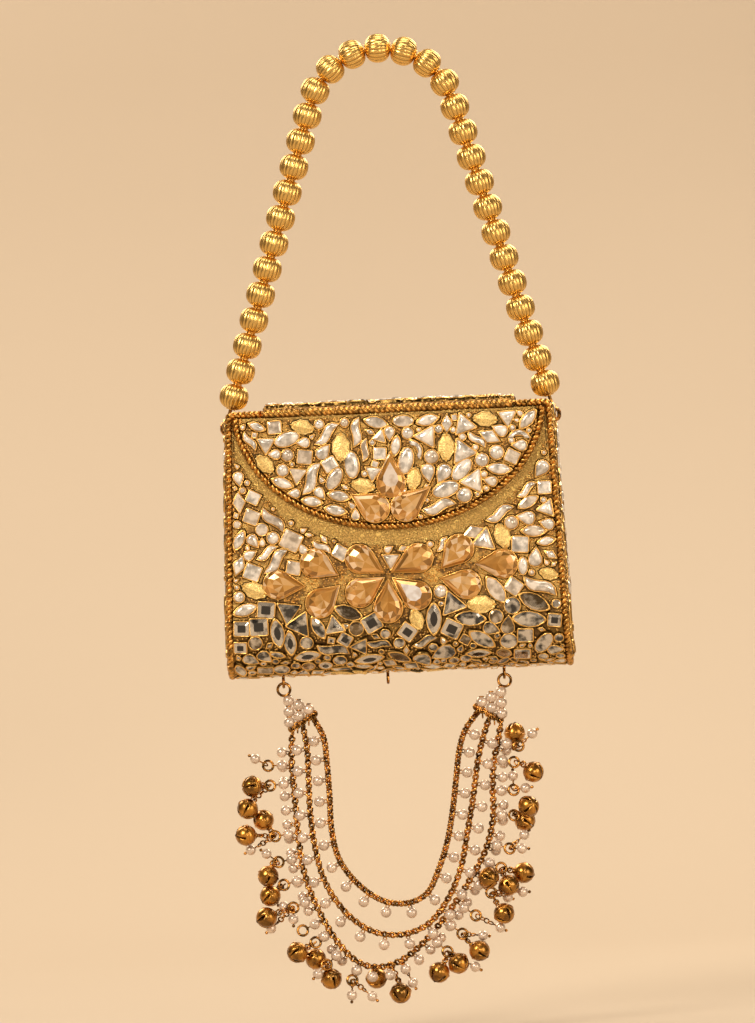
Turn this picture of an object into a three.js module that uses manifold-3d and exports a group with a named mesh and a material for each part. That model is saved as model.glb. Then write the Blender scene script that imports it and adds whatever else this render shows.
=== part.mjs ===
// An embellished evening clutch. A brass case carries a mosaic of set stones, a rounded flap turns on the front
// top edge, ribbed beads on a stiff wire make the handle, and a festoon of three chains hangs below the case.
// Millimetres, +Z up, x along the width, -y is the front. While it is built, z = 0 is the top of the case. The
// finished group is moved so that its origin is the top of the handle, where the bag hangs.
import * as THREE from "three";
import { ConvexGeometry } from "three/addons/geometries/ConvexGeometry.js";
import { mergeVertices } from "three/addons/utils/BufferGeometryUtils.js";
import Module from "manifold-3d";

const wasm = await Module();
wasm.setup();

// Metal and fits
const SHEET = 1;
const SEAT_GAP = 0.3;
const RUNNING_GAP = 0.4;

// Case
const CASE_HEIGHT = 116;
const CASE_DEPTH = 46;
const TOP_HALF_WIDTH = 69.8;
const BASE_HALF_WIDTH = 74.2;
const TOP_BEND = 3;
const LINING = 0.8;

// Mouth in the front, under the flap
const MOUTH_SIDE = 11.5;
const MOUTH_TOP = 6;
const MOUTH_DROP = 34;

// Flap and its hinge along the front top edge
const FLAP_SIDE = 3.3;
const FLAP_DROP = 51.6;
const FLAP_GAP = 1.8;
const HINGE_DROP = 1.2;
const KNUCKLE_RADIUS = 1.5;
const KNUCKLE_COUNT = 7;
const PIN_RADIUS = 0.7;
const PIN_HEAD = 0.8;
const MAGNET_RADIUS = 4.5;
const MAGNET_ABOVE_TIP = 5.6;

// Trim
const MOSAIC_BED = 1;
const ROPE_RADIUS = 1.3;
const CRESCENT_SIDE = 4.6;
const CRESCENT_MIDDLE = 9.4;
const TOP_MOSAIC_END = 14;

// Pear-cut crystals: across the width at the girdle, the girdle's height, the rise and the share of the table.
const CRYSTAL_WIDTH = 11.4;
const CRYSTAL_GIRDLE = 1;
const CRYSTAL_RISE = 2.6;
const CRYSTAL_TABLE = 0.58;

// Each crystal as chosen by hand: x and z of its middle, the turn of its point in degrees, and its length.
const FLAP_CRYSTALS = [
  [-0.1, -30.4, 90, 19.2], [-10.1, -43.4, 149, 17.8], [9.1, -42.6, 36, 20],
];
const FRONT_CRYSTALS = [
  [7.2, -69.4, 206, 19.4], [-12.8, -68.8, 328, 18.4], [-13.2, -80.6, 30, 18.4], [-3.7, -86.2, 88, 18.6],
  [6.4, -82.2, 142, 19], [-33.2, -69.5, 332, 17.4], [-31.8, -84.3, 40, 17.4], [-49.4, -77.3, 354, 17.8],
  [26.8, -66.5, 225, 17.6], [28.5, -79.6, 165, 17.8], [44.8, -71.8, 178, 18.2],
];

// Handle
const HANDLE_RISE = 160;
const HANDLE_ARC_RADIUS = 33;
const HANDLE_LEAN = 2;
const HANDLE_OFFSET = 2.4;
const PIVOT_DROP = 4;
const WIRE_RADIUS = 0.9;
const BEAD_COUNT = 31;
const BEAD_RADIUS = 6.2;
const BEAD_BORE = 1.8;
const BEAD_GAP = 1;
const BEAD_RIBS = 8;
const RIB_DEPTH = 0.07;
const FIRST_BEAD = 9.6;
const STAPLE_DROP = 5;

// Festoon
const FESTOON_CENTRE = -3.5;
const FESTOON_HALF = 49.3;
const MIDDLE_EYELET = -6.1;
const EYELET_RADIUS = 2;
const EYELET_DROP = 5;
const EYELET_WIRE = 0.7;
const LINK_RADIUS = 2.8;
const PEARL_RADIUS = 2.6;
const BAR_RADIUS = 1.1;
const CHAIN_RADIUS = 1.7;
const CHAIN_SPACING = 2;

// Routes of the chains as they hang, chosen by hand: x and z of points between the left bar and the right bar.
const INNER_ROUTE = [
  [-36, -146], [-35, -157], [-34.4, -172], [-34.1, -188], [-31.2, -201], [-23, -212.5],
  [-12, -220.2], [-1, -221.4], [7.2, -217.4], [12.6, -207.5], [17, -195.5], [20, -182], [22.2, -168],
  [24.6, -153], [27.6, -145],
];
const MIDDLE_ROUTE = [
  [-43.6, -151], [-43.5, -163], [-43.5, -178], [-41.8, -196], [-37.6, -212], [-28, -226.3],
  [-16.4, -234.1], [-4, -235.4], [7, -231.3], [16, -221], [22.4, -207.6], [26.4, -190.5], [29.8, -174],
  [32.4, -159], [35, -149.5],
];
const OUTER_ROUTE = [
  [-50.8, -156], [-50.2, -171], [-49.5, -187], [-47.4, -206], [-42, -222.5], [-33.4, -238.3],
  [-24.7, -247.3], [-16, -249.7], [-6, -247.2], [5, -239.2], [14, -229.2], [24.9, -214.8], [34, -199.4],
  [38, -185], [38.4, -171], [39.4, -160], [41.2, -153],
];

const halfDepth = CASE_DEPTH / 2;
const flapHalfWidth = TOP_HALF_WIDTH - FLAP_SIDE;
const mouthHalfWidth = flapHalfWidth - MOUTH_SIDE;
const baseCentre = halfDepth - CASE_HEIGHT;
const hingeY = -(halfDepth + FLAP_GAP + SHEET / 2);
const hingeZ = -HINGE_DROP;
const flapTop = hingeZ - KNUCKLE_RADIUS - RUNNING_GAP;
const magnetZ = MAGNET_ABOVE_TIP - FLAP_DROP;
const ropeOffset = (ROPE_RADIUS + SEAT_GAP) * Math.SQRT1_2;
const pivotX = TOP_HALF_WIDTH + HANDLE_OFFSET;
const ringRadius = WIRE_RADIUS * 2 + RUNNING_GAP;
const eyeletZ = -CASE_HEIGHT - EYELET_DROP;
const linkTopZ = eyeletZ - (EYELET_RADIUS - 2 * EYELET_WIRE - SEAT_GAP);
const linkZ = linkTopZ - LINK_RADIUS;

// Half of the width over the end plates; the case widens in a straight line from top to base.
function halfWidthAt(z) {
  return TOP_HALF_WIDTH - ((BASE_HALF_WIDTH - TOP_HALF_WIDTH) * z) / CASE_HEIGHT;
}

// Geometry to a solid and back, and the booleans.
function solidOf(geometry) {
  const bare = new THREE.BufferGeometry();
  const flat = geometry.index ? geometry.toNonIndexed() : geometry;
  bare.setAttribute("position", flat.getAttribute("position"));
  const merged = mergeVertices(bare, 1e-4);
  const mesh = new wasm.Mesh({
    numProp: 3,
    vertProperties: new Float32Array(merged.getAttribute("position").array),
    triVerts: new Uint32Array(merged.index.array),
  });
  return new wasm.Manifold(mesh);
}

function geometryOf(solid) {
  const mesh = solid.getMesh();
  const geometry = new THREE.BufferGeometry();
  geometry.setAttribute("position", new THREE.BufferAttribute(mesh.vertProperties, 3));
  geometry.setIndex(new THREE.BufferAttribute(mesh.triVerts, 1));
  geometry.computeVertexNormals();
  return geometry;
}

function joined(solids) {
  return solids.reduce((sum, solid) => sum.add(solid));
}

// Prisms: a (y, z) shape pushed along x, and an (x, z) shape pushed along y.
function prismX(shape, from, to, curveSegments = 6) {
  const options = { depth: to - from, bevelEnabled: false, curveSegments };
  const geometry = new THREE.ExtrudeGeometry(shape, options);
  const yAxis = new THREE.Vector3(0, 1, 0);
  const zAxis = new THREE.Vector3(0, 0, 1);
  const xAxis = new THREE.Vector3(1, 0, 0);
  geometry.applyMatrix4(new THREE.Matrix4().makeBasis(yAxis, zAxis, xAxis));
  geometry.translate(from, 0, 0);
  return solidOf(geometry);
}

function prismY(shape, from, to, curveSegments = 12) {
  const options = { depth: to - from, bevelEnabled: false, curveSegments };
  const geometry = new THREE.ExtrudeGeometry(shape, options);
  geometry.rotateX(Math.PI / 2);
  geometry.translate(0, to, 0);
  return solidOf(geometry);
}

function boxSolid(x0, x1, y0, y1, z0, z1) {
  const geometry = new THREE.BoxGeometry(x1 - x0, y1 - y0, z1 - z0);
  geometry.translate((x0 + x1) / 2, (y0 + y1) / 2, (z0 + z1) / 2);
  return solidOf(geometry);
}

function cylinderX(radius, x0, x1, y, z, sides = 12) {
  const geometry = new THREE.CylinderGeometry(radius, radius, x1 - x0, sides);
  geometry.rotateZ(Math.PI / 2);
  geometry.translate((x0 + x1) / 2, y, z);
  return solidOf(geometry);
}

function cylinderY(radius, x, y0, y1, z, sides = 16) {
  const geometry = new THREE.CylinderGeometry(radius, radius, y1 - y0, sides);
  geometry.translate(x, (y0 + y1) / 2, z);
  return solidOf(geometry);
}

function cylinderZ(radius, x, y, z0, z1, sides = 10) {
  const geometry = new THREE.CylinderGeometry(radius, radius, z1 - z0, sides);
  geometry.rotateX(Math.PI / 2);
  geometry.translate(x, y, (z0 + z1) / 2);
  return solidOf(geometry);
}

function ballSolid(radius, x, y, z, detail = 1) {
  const geometry = new THREE.IcosahedronGeometry(radius, detail);
  geometry.translate(x, y, z);
  return solidOf(geometry);
}

// A flat path in two dimensions lifted into space by a function of its two coordinates.
class LiftedCurve extends THREE.Curve {
  constructor(path, lift) {
    super();
    this.path = path;
    this.lift = lift;
  }

  getPoint(t, target = new THREE.Vector3()) {
    const flat = this.path.getPointAt(t);
    return target.copy(this.lift(flat.x, flat.y));
  }
}

// A tube along a curve. A full circle is drawn with twice its curve segments.
function tubeGeometry(curve, radius, sides, steps) {
  const section = new THREE.Shape();
  section.absarc(0, 0, radius, 0, Math.PI * 2, false);
  const options = { steps, curveSegments: sides / 2, bevelEnabled: false, extrudePath: curve };
  return new THREE.ExtrudeGeometry(section, options);
}

// The case's outline in (y, z), moved inward by an inset: flat sides, a half-round base and two top bends.
function caseOutline(inset) {
  const half = halfDepth - inset;
  const top = -inset;
  const bend = TOP_BEND - inset;
  const shape = new THREE.Shape();
  shape.moveTo(-half, baseCentre);
  shape.absarc(0, baseCentre, half, Math.PI, Math.PI * 2, false);
  shape.lineTo(half, top - bend);
  shape.quadraticCurveTo(half, top, half - bend, top);
  shape.lineTo(bend - half, top);
  shape.quadraticCurveTo(-half, top, -half, top - bend);
  shape.closePath();
  return shape;
}

// Everything between the two sloping end planes, each moved inward by a margin.
function betweenEnds(margin) {
  const high = TOP_BEND + CASE_DEPTH;
  const low = -CASE_HEIGHT - CASE_DEPTH;
  const shape = new THREE.Shape();
  shape.moveTo(margin - halfWidthAt(high), high);
  shape.lineTo(margin - halfWidthAt(low), low);
  shape.lineTo(halfWidthAt(low) - margin, low);
  shape.lineTo(halfWidthAt(high) - margin, high);
  shape.closePath();
  return prismY(shape, -CASE_DEPTH * 2, CASE_DEPTH * 2);
}

// A slab along one end plane, from one distance outside it to another. Side is -1 at the left, 1 at the right.
function endSlab(side, from, to) {
  const high = TOP_BEND + CASE_DEPTH;
  const low = -CASE_HEIGHT - CASE_DEPTH;
  const shape = new THREE.Shape();
  shape.moveTo(side * (halfWidthAt(high) + from), high);
  shape.lineTo(side * (halfWidthAt(low) + from), low);
  shape.lineTo(side * (halfWidthAt(low) + to), low);
  shape.lineTo(side * (halfWidthAt(high) + to), high);
  shape.closePath();
  return prismY(shape, -CASE_DEPTH * 2, CASE_DEPTH * 2);
}

// The lower part of an ellipse about the middle of the top edge, cut off straight at a height.
function halfEllipse(halfWidth, drop, top) {
  const start = Math.asin(-top / drop);
  const shape = new THREE.Shape();
  shape.absellipse(0, 0, halfWidth, drop, Math.PI + start, Math.PI * 2 - start, false, 0);
  shape.closePath();
  return shape;
}

// A pear-cut crystal standing on a bed that faces the front: girdle, crown and flat table.
function crystal([x, z, turn, length], bedY) {
  const radius = CRYSTAL_WIDTH / 2;
  const along = new THREE.Vector2(1, 0).rotateAround(new THREE.Vector2(), THREE.MathUtils.degToRad(turn));
  const flank = Math.acos(radius / (length - radius));
  const outline = [new THREE.Vector2(length / 2, 0)];
  for (let i = 0; i <= 7; i += 1) {
    const a = flank + (i / 7) * 2 * (Math.PI - flank);
    outline.push(new THREE.Vector2(radius - length / 2 + radius * Math.cos(a), radius * Math.sin(a)));
  }
  const ring = (scale, out) =>
    outline.map((p) => {
      const px = x + scale * (p.x * along.x - p.y * along.y);
      const pz = z + scale * (p.x * along.y + p.y * along.x);
      return new THREE.Vector3(px, bedY - out, pz);
    });
  const rings = [ring(1, -MOSAIC_BED / 2), ring(1, CRYSTAL_GIRDLE), ring(CRYSTAL_TABLE, CRYSTAL_RISE)];
  return solidOf(new ConvexGeometry(rings.flat()));
}

function mouthPrism(margin) {
  const shape = new THREE.Shape();
  shape.absellipse(0, -MOUTH_TOP, mouthHalfWidth + margin, MOUTH_DROP + margin, Math.PI, Math.PI * 2, false, 0);
  shape.closePath();
  return prismY(shape, -CASE_DEPTH, 0);
}

// Knuckles of the hinge: every other one belongs to the case, the ones between to the flap.
function knuckles(remainder, tabOf) {
  const length = (mouthHalfWidth * 2) / KNUCKLE_COUNT;
  const solids = [];
  for (let i = remainder; i < KNUCKLE_COUNT; i += 2) {
    const from = -mouthHalfWidth + i * length + RUNNING_GAP / 2;
    const to = from + length - RUNNING_GAP;
    const barrel = cylinderX(KNUCKLE_RADIUS, from, to, hingeY, hingeZ);
    const bore = cylinderX(PIN_RADIUS + SEAT_GAP, from - 1, to + 1, hingeY, hingeZ);
    solids.push(barrel.add(tabOf(from, to)).subtract(bore));
  }
  return joined(solids);
}

function caseWrap() {
  const outline = caseOutline(0);
  outline.holes.push(caseOutline(SHEET));
  const reach = BASE_HALF_WIDTH + CASE_DEPTH;
  const tube = prismX(outline, -reach, reach).intersect(betweenEnds(SHEET + SEAT_GAP));
  const keeperHole = cylinderY(MAGNET_RADIUS + SEAT_GAP, 0, -CASE_DEPTH, 0, magnetZ);
  const tabHalf = SHEET / 2;
  const tabEnd = TOP_BEND / 2 - halfDepth;
  const tab = (from, to) => boxSolid(from, to, hingeY, tabEnd, hingeZ - tabHalf, hingeZ + tabHalf);
  return tube.subtract(mouthPrism(0)).subtract(keeperHole).add(knuckles(0, tab));
}

function endPlate(side) {
  const reach = BASE_HALF_WIDTH + CASE_DEPTH;
  const block = prismX(caseOutline(0), -reach, reach);
  return block.intersect(endSlab(side, -SHEET, 0));
}

function lining() {
  const reach = BASE_HALF_WIDTH + CASE_DEPTH;
  const outer = SHEET + RUNNING_GAP;
  const inner = outer + LINING;
  const block = prismX(caseOutline(outer), -reach, reach).intersect(betweenEnds(outer));
  const space = prismX(caseOutline(inner), -reach, reach).intersect(betweenEnds(inner));
  return block.subtract(space).subtract(mouthPrism(SHEET)).subtract(keeperSpace());
}

// Room for the magnet keeper behind the front wall.
function keeperSpace() {
  return cylinderY(MAGNET_RADIUS + RUNNING_GAP, 0, -CASE_DEPTH, 0, magnetZ);
}

// The bed of the mosaic over front, base and back. Above it, the front stays bare in a crescent round the flap.
function caseMosaic() {
  const reach = BASE_HALF_WIDTH + CASE_DEPTH;
  const band = caseOutline(-SEAT_GAP - MOSAIC_BED);
  band.holes.push(caseOutline(-SEAT_GAP));
  const ropeEdge = ROPE_RADIUS + SEAT_GAP - ropeOffset;
  const skin = prismX(band, -reach, reach).intersect(betweenEnds(ropeEdge));
  const below = boxSolid(-reach, reach, -CASE_DEPTH, CASE_DEPTH, -CASE_HEIGHT - CASE_DEPTH, -TOP_BEND);
  const crescent = halfEllipse(
    flapHalfWidth + 2 * ROPE_RADIUS + CRESCENT_SIDE,
    FLAP_DROP + 2 * ROPE_RADIUS + CRESCENT_MIDDLE,
    0,
  );
  const holes = [...festoonEyelets(), MIDDLE_EYELET].map((x) => cylinderZ(EYELET_RADIUS, x, 0, eyeletZ, baseCentre));
  const bed = skin.intersect(below).subtract(prismY(crescent, -CASE_DEPTH, 0)).subtract(joined(holes));
  const bedY = -halfDepth - SEAT_GAP - MOSAIC_BED;
  return joined([bed, ...FRONT_CRYSTALS.map((place) => crystal(place, bedY))]);
}

function endMosaic(side) {
  const reach = BASE_HALF_WIDTH + CASE_DEPTH;
  const edge = ROPE_RADIUS + SEAT_GAP - ropeOffset;
  const skin = prismX(caseOutline(edge), -reach, reach).intersect(endSlab(side, SEAT_GAP, SEAT_GAP + MOSAIC_BED));
  const roomHalf = BEAD_RADIUS;
  const roomLow = -PIVOT_DROP - STAPLE_DROP - 2 * WIRE_RADIUS;
  return skin.subtract(boxSolid(-reach, reach, -roomHalf, roomHalf, roomLow, CASE_DEPTH));
}

function topMosaic() {
  const halfX = TOP_HALF_WIDTH - TOP_MOSAIC_END;
  const halfY = halfDepth - TOP_BEND;
  return boxSolid(-halfX, halfX, -halfY, halfY, SEAT_GAP, SEAT_GAP + MOSAIC_BED);
}

// Rope round one end: from the hinge along the top edge, down the front edge, round the base and up the back.
function edgeRope(side) {
  const half = halfDepth + ropeOffset;
  const path = new THREE.Path();
  path.moveTo(-half, hingeZ);
  path.lineTo(-half, baseCentre);
  path.absarc(0, baseCentre, half, Math.PI, Math.PI * 2, false);
  path.lineTo(half, -TOP_BEND);
  const lift = (y, z) => new THREE.Vector3(side * (halfWidthAt(z) + ropeOffset), y, z);
  const round = solidOf(tubeGeometry(new LiftedCurve(path, lift), ROPE_RADIUS, 6, 34));
  const corner = lift(-half, hingeZ);
  const from = side * (mouthHalfWidth + RUNNING_GAP + PIN_HEAD + SEAT_GAP);
  const top = cylinderX(ROPE_RADIUS, Math.min(from, corner.x), Math.max(from, corner.x), -half, hingeZ, 6);
  return joined([round, top, ballSolid(ROPE_RADIUS, corner.x, corner.y, corner.z)]);
}

function flapPlate() {
  const front = hingeY - SHEET / 2;
  const back = hingeY + SHEET / 2;
  const plate = prismY(halfEllipse(flapHalfWidth, FLAP_DROP, flapTop), front, back);
  const tab = (from, to) => boxSolid(from, to, front, back, flapTop - SHEET, hingeZ);
  return plate.add(knuckles(1, tab));
}

function flapMosaic() {
  const shape = halfEllipse(flapHalfWidth - SHEET, FLAP_DROP - SHEET, flapTop - SHEET);
  const seat = hingeY - SHEET / 2 - SEAT_GAP;
  const bedY = seat - MOSAIC_BED;
  return joined([prismY(shape, bedY, seat), ...FLAP_CRYSTALS.map((place) => crystal(place, bedY))]);
}

function flapRope() {
  const offset = ROPE_RADIUS + SEAT_GAP;
  const drop = FLAP_DROP + offset;
  const start = Math.asin(-flapTop / drop);
  const path = new THREE.Path();
  path.absellipse(0, 0, flapHalfWidth + offset, drop, Math.PI + start, Math.PI * 2 - start, false, 0);
  const lift = (x, z) => new THREE.Vector3(x, hingeY, z);
  return tubeGeometry(new LiftedCurve(path, lift), ROPE_RADIUS, 6, 32);
}

function hingePin() {
  const half = mouthHalfWidth + RUNNING_GAP;
  const shank = cylinderX(PIN_RADIUS, -half, half, hingeY, hingeZ);
  const left = cylinderX(KNUCKLE_RADIUS, -half - PIN_HEAD, -half, hingeY, hingeZ);
  const right = cylinderX(KNUCKLE_RADIUS, half, half + PIN_HEAD, hingeY, hingeZ);
  return joined([shank, left, right]);
}

function flapMagnet() {
  return cylinderY(MAGNET_RADIUS, 0, SEAT_GAP - halfDepth - FLAP_GAP, -halfDepth - SEAT_GAP, magnetZ);
}

function frontMagnet() {
  return cylinderY(MAGNET_RADIUS, 0, -halfDepth, SHEET - halfDepth, magnetZ);
}

// The line of the handle: two straight legs, tangent to an arc at the top.
function handlePath() {
  const footZ = ringRadius - PIVOT_DROP;
  const centreZ = HANDLE_RISE - HANDLE_ARC_RADIUS;
  const tangentAngle = (footX, turn) => {
    const away = Math.atan2(footZ - centreZ, footX - HANDLE_LEAN);
    const distance = Math.hypot(footX - HANDLE_LEAN, footZ - centreZ);
    return away + turn * Math.acos(HANDLE_ARC_RADIUS / distance);
  };
  const from = tangentAngle(-pivotX, -1);
  const to = tangentAngle(pivotX, 1);
  const path = new THREE.Path();
  path.moveTo(-pivotX, footZ);
  path.lineTo(HANDLE_LEAN + HANDLE_ARC_RADIUS * Math.cos(from), centreZ + HANDLE_ARC_RADIUS * Math.sin(from));
  path.absarc(HANDLE_LEAN, centreZ, HANDLE_ARC_RADIUS, from, to, true);
  path.lineTo(pivotX, footZ);
  return path;
}

function handleCurve() {
  return new LiftedCurve(handlePath(), (x, z) => new THREE.Vector3(x, 0, z));
}

// The wire ends in an eye at each foot; the eye turns on the upper leg of its staple.
function handleWire() {
  const wire = solidOf(tubeGeometry(handleCurve(), WIRE_RADIUS, 6, 48));
  const eyes = [-1, 1].map((side) => {
    const eye = new THREE.TorusGeometry(ringRadius, WIRE_RADIUS, 6, 12);
    eye.rotateY(Math.PI / 2);
    eye.translate(side * pivotX, 0, -PIVOT_DROP);
    return solidOf(eye);
  });
  return joined([wire, ...eyes]);
}

// A ribbed bead about its own y axis, with a bore for the wire.
function beadGeometry(length) {
  const profile = [new THREE.Vector2(BEAD_BORE, -length / 2)];
  for (const a of [-40, 0, 40].map(THREE.MathUtils.degToRad)) {
    profile.push(new THREE.Vector2(BEAD_RADIUS * Math.cos(a), (length / 2) * Math.sin(a)));
  }
  profile.push(new THREE.Vector2(BEAD_BORE, length / 2));
  profile.push(profile[0].clone());
  const segments = BEAD_RIBS * 2;
  const geometry = new THREE.LatheGeometry(profile, segments);
  const position = geometry.getAttribute("position");
  for (let i = 0; i < position.count; i += 1) {
    const inGroove = Math.floor(i / profile.length) % 2 === 1;
    const onBore = Math.hypot(position.getX(i), position.getZ(i)) < BEAD_BORE * 1.01;
    if (inGroove && !onBore) {
      position.setX(i, position.getX(i) * (1 - RIB_DEPTH));
      position.setZ(i, position.getZ(i) * (1 - RIB_DEPTH));
    }
  }
  return geometry;
}

// The staple on an end plate that carries the eye of the handle.
function handleStaple(side) {
  const reach = pivotX + ringRadius + WIRE_RADIUS;
  const corner = WIRE_RADIUS * 2;
  const high = -PIVOT_DROP;
  const low = high - STAPLE_DROP;
  const path = new THREE.Path();
  path.moveTo(halfWidthAt(high) + SEAT_GAP, high);
  path.lineTo(reach - corner, high);
  path.absarc(reach - corner, high - corner, corner, Math.PI / 2, 0, true);
  path.absarc(reach - corner, low + corner, corner, 0, -Math.PI / 2, true);
  path.lineTo(halfWidthAt(low) + SEAT_GAP, low);
  const curve = new LiftedCurve(path, (x, z) => new THREE.Vector3(side * x, 0, z));
  return tubeGeometry(curve, WIRE_RADIUS, 6, 12);
}

function festoonEyelets() {
  return [FESTOON_CENTRE - FESTOON_HALF, FESTOON_CENTRE + FESTOON_HALF];
}

// A ring eyelet on a stem under the base.
function eyelet(x) {
  const ring = new THREE.TorusGeometry(EYELET_RADIUS, EYELET_WIRE, 6, 10);
  ring.rotateY(Math.PI / 2);
  ring.translate(x, 0, eyeletZ);
  const stem = cylinderZ(EYELET_WIRE, x, 0, eyeletZ + EYELET_RADIUS, -CASE_HEIGHT - SEAT_GAP, 8);
  return solidOf(ring).add(stem);
}

// The pearls of an end cluster stand in a triangle of three, two and one; a slanting bar below takes the chains.
function clusterPearl(x, side, row, column) {
  const acrossStep = PEARL_RADIUS * 1.7;
  const downStep = PEARL_RADIUS * 1.85;
  const fallStep = PEARL_RADIUS * 0.8;
  const firstZ = linkZ - LINK_RADIUS - PEARL_RADIUS * 0.9;
  const px = x - side * (PEARL_RADIUS * 0.7 + column * acrossStep);
  return new THREE.Vector3(px, 0, firstZ - row * downStep - column * fallStep);
}

function endCluster(x, side) {
  const link = new THREE.TorusGeometry(LINK_RADIUS, EYELET_WIRE, 6, 12);
  link.rotateX(Math.PI / 2);
  link.translate(x, 0, linkZ);
  const solids = [solidOf(link)];
  for (let row = 0; row < 3; row += 1) {
    for (let column = 0; column < 3 - row; column += 1) {
      const p = clusterPearl(x, side, row, column);
      solids.push(ballSolid(PEARL_RADIUS, p.x, p.y, p.z));
    }
  }
  solids.push(solidOf(tubeGeometry(clusterBar(x, side), BAR_RADIUS, 6, 1)));
  return joined(solids);
}

// The bar lies against the slanting edge of the triangle, from its low corner to its high one.
function clusterBar(x, side) {
  const low = clusterPearl(x, side, 2, 0);
  const high = clusterPearl(x, side, 0, 2);
  const along = high.clone().sub(low).normalize();
  const reach = PEARL_RADIUS + BAR_RADIUS / 2;
  const below = new THREE.Vector3(-along.z, 0, along.x).multiplyScalar(side * reach);
  const from = low.clone().add(below).addScaledVector(along, -EYELET_RADIUS);
  const to = high.clone().add(below).addScaledVector(along, EYELET_RADIUS);
  return new THREE.LineCurve3(from, to);
}

// The end of a chain just below the bar, so that the near corner of its end clears the slanting bar.
function chainSeat(side, along) {
  const bar = clusterBar(FESTOON_CENTRE + side * FESTOON_HALF, side);
  const run = bar.v2.clone().sub(bar.v1);
  const slope = Math.abs(run.z / run.x);
  const drop = BAR_RADIUS * Math.hypot(1, slope) + CHAIN_RADIUS * slope + SEAT_GAP;
  return bar.getPoint(along).sub(new THREE.Vector3(0, 0, drop));
}

function chain(route, y, along) {
  const between = route.map(([x, z]) => new THREE.Vector3(x, y, z));
  const points = [chainSeat(-1, along), ...between, chainSeat(1, along)];
  const curve = new THREE.CatmullRomCurve3(points, false, "centripetal");
  const steps = Math.round(curve.getLength() / (CHAIN_RADIUS * 4));
  return tubeGeometry(curve, CHAIN_RADIUS, 6, steps);
}

// Materials
function metal(colour, roughness) {
  return new THREE.MeshStandardMaterial({ color: colour, roughness, metalness: 1 });
}

function plain(colour, roughness) {
  return new THREE.MeshStandardMaterial({ color: colour, roughness, metalness: 0 });
}

const sheetGold = () => metal(0xb98a4a, 0.45);
const beadGold = () => metal(0xd9b06a, 0.3);
const ropeGold = () => metal(0xcfa45c, 0.35);
const chainGold = () => metal(0xb8904e, 0.4);
const stones = () => plain(0xd8c8ac, 0.3);
const pearls = () => plain(0xf0e4cc, 0.25);
const steel = () => metal(0xb8b8b8, 0.35);
const cloth = () => plain(0x4a3220, 0.9);

// Assembly
const handle = new THREE.Group();
const caseBody = new THREE.Group();
const flap = new THREE.Group();
const festoon = new THREE.Group();

function place(group, name, shape, material) {
  const geometry = shape.isBufferGeometry ? shape : geometryOf(shape);
  const mesh = new THREE.Mesh(geometry, material);
  mesh.name = name;
  group.add(mesh);
  return mesh;
}

function strungBeads() {
  const curve = handleCurve();
  const length = curve.getLength();
  const pitch = (length - 2 * FIRST_BEAD) / (BEAD_COUNT - 1);
  const up = new THREE.Vector3(0, 1, 0);
  for (let i = 0; i < BEAD_COUNT; i += 1) {
    const along = (FIRST_BEAD + i * pitch) / length;
    const name = `bead_${String(i + 1).padStart(2, "0")}`;
    const bead = place(handle, name, beadGeometry(pitch - BEAD_GAP), beadGold());
    bead.position.copy(curve.getPointAt(along));
    bead.quaternion.setFromUnitVectors(up, curve.getTangentAt(along));
  }
}

place(handle, "handle_wire", handleWire(), chainGold());
strungBeads();

place(caseBody, "case_wrap", caseWrap(), sheetGold());
place(caseBody, "lining", lining(), cloth());
place(caseBody, "case_mosaic", caseMosaic(), stones());
place(caseBody, "top_mosaic", topMosaic(), stones());
place(caseBody, "hinge_pin", hingePin(), ropeGold());
place(caseBody, "front_magnet", frontMagnet(), steel());
for (const [name, side] of [["left", -1], ["right", 1]]) {
  place(caseBody, `${name}_end_plate`, endPlate(side), sheetGold());
  place(caseBody, `${name}_end_mosaic`, endMosaic(side), stones());
  place(caseBody, `${name}_edge_rope`, edgeRope(side), ropeGold());
  place(caseBody, `${name}_handle_staple`, handleStaple(side), chainGold());
  const x = FESTOON_CENTRE + side * FESTOON_HALF;
  place(caseBody, `${name}_festoon_eyelet`, eyelet(x), chainGold());
  place(festoon, `${name}_end_cluster`, endCluster(x, side), pearls());
}

place(caseBody, "middle_eyelet", eyelet(MIDDLE_EYELET), chainGold());

place(flap, "flap_plate", flapPlate(), sheetGold());
place(flap, "flap_mosaic", flapMosaic(), stones());
place(flap, "flap_rope", flapRope(), ropeGold());
place(flap, "flap_magnet", flapMagnet(), steel());

place(festoon, "inner_chain", chain(INNER_ROUTE, -CHAIN_SPACING, 0.92), chainGold());
place(festoon, "middle_chain", chain(MIDDLE_ROUTE, 0, 0.5), chainGold());
place(festoon, "outer_chain", chain(OUTER_ROUTE, CHAIN_SPACING, 0.08), chainGold());

const bag = new THREE.Group();
bag.add(handle, caseBody, flap, festoon);
bag.position.set(-HANDLE_LEAN, 0, -HANDLE_RISE);

const clutch = new THREE.Group();
clutch.add(bag);

export default clutch;
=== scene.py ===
import math
import random

import bmesh
import bpy
import numpy as np
from bpy.props import FloatProperty, FloatVectorProperty, IntProperty, PointerProperty
from mathutils import Matrix, Vector


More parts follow.
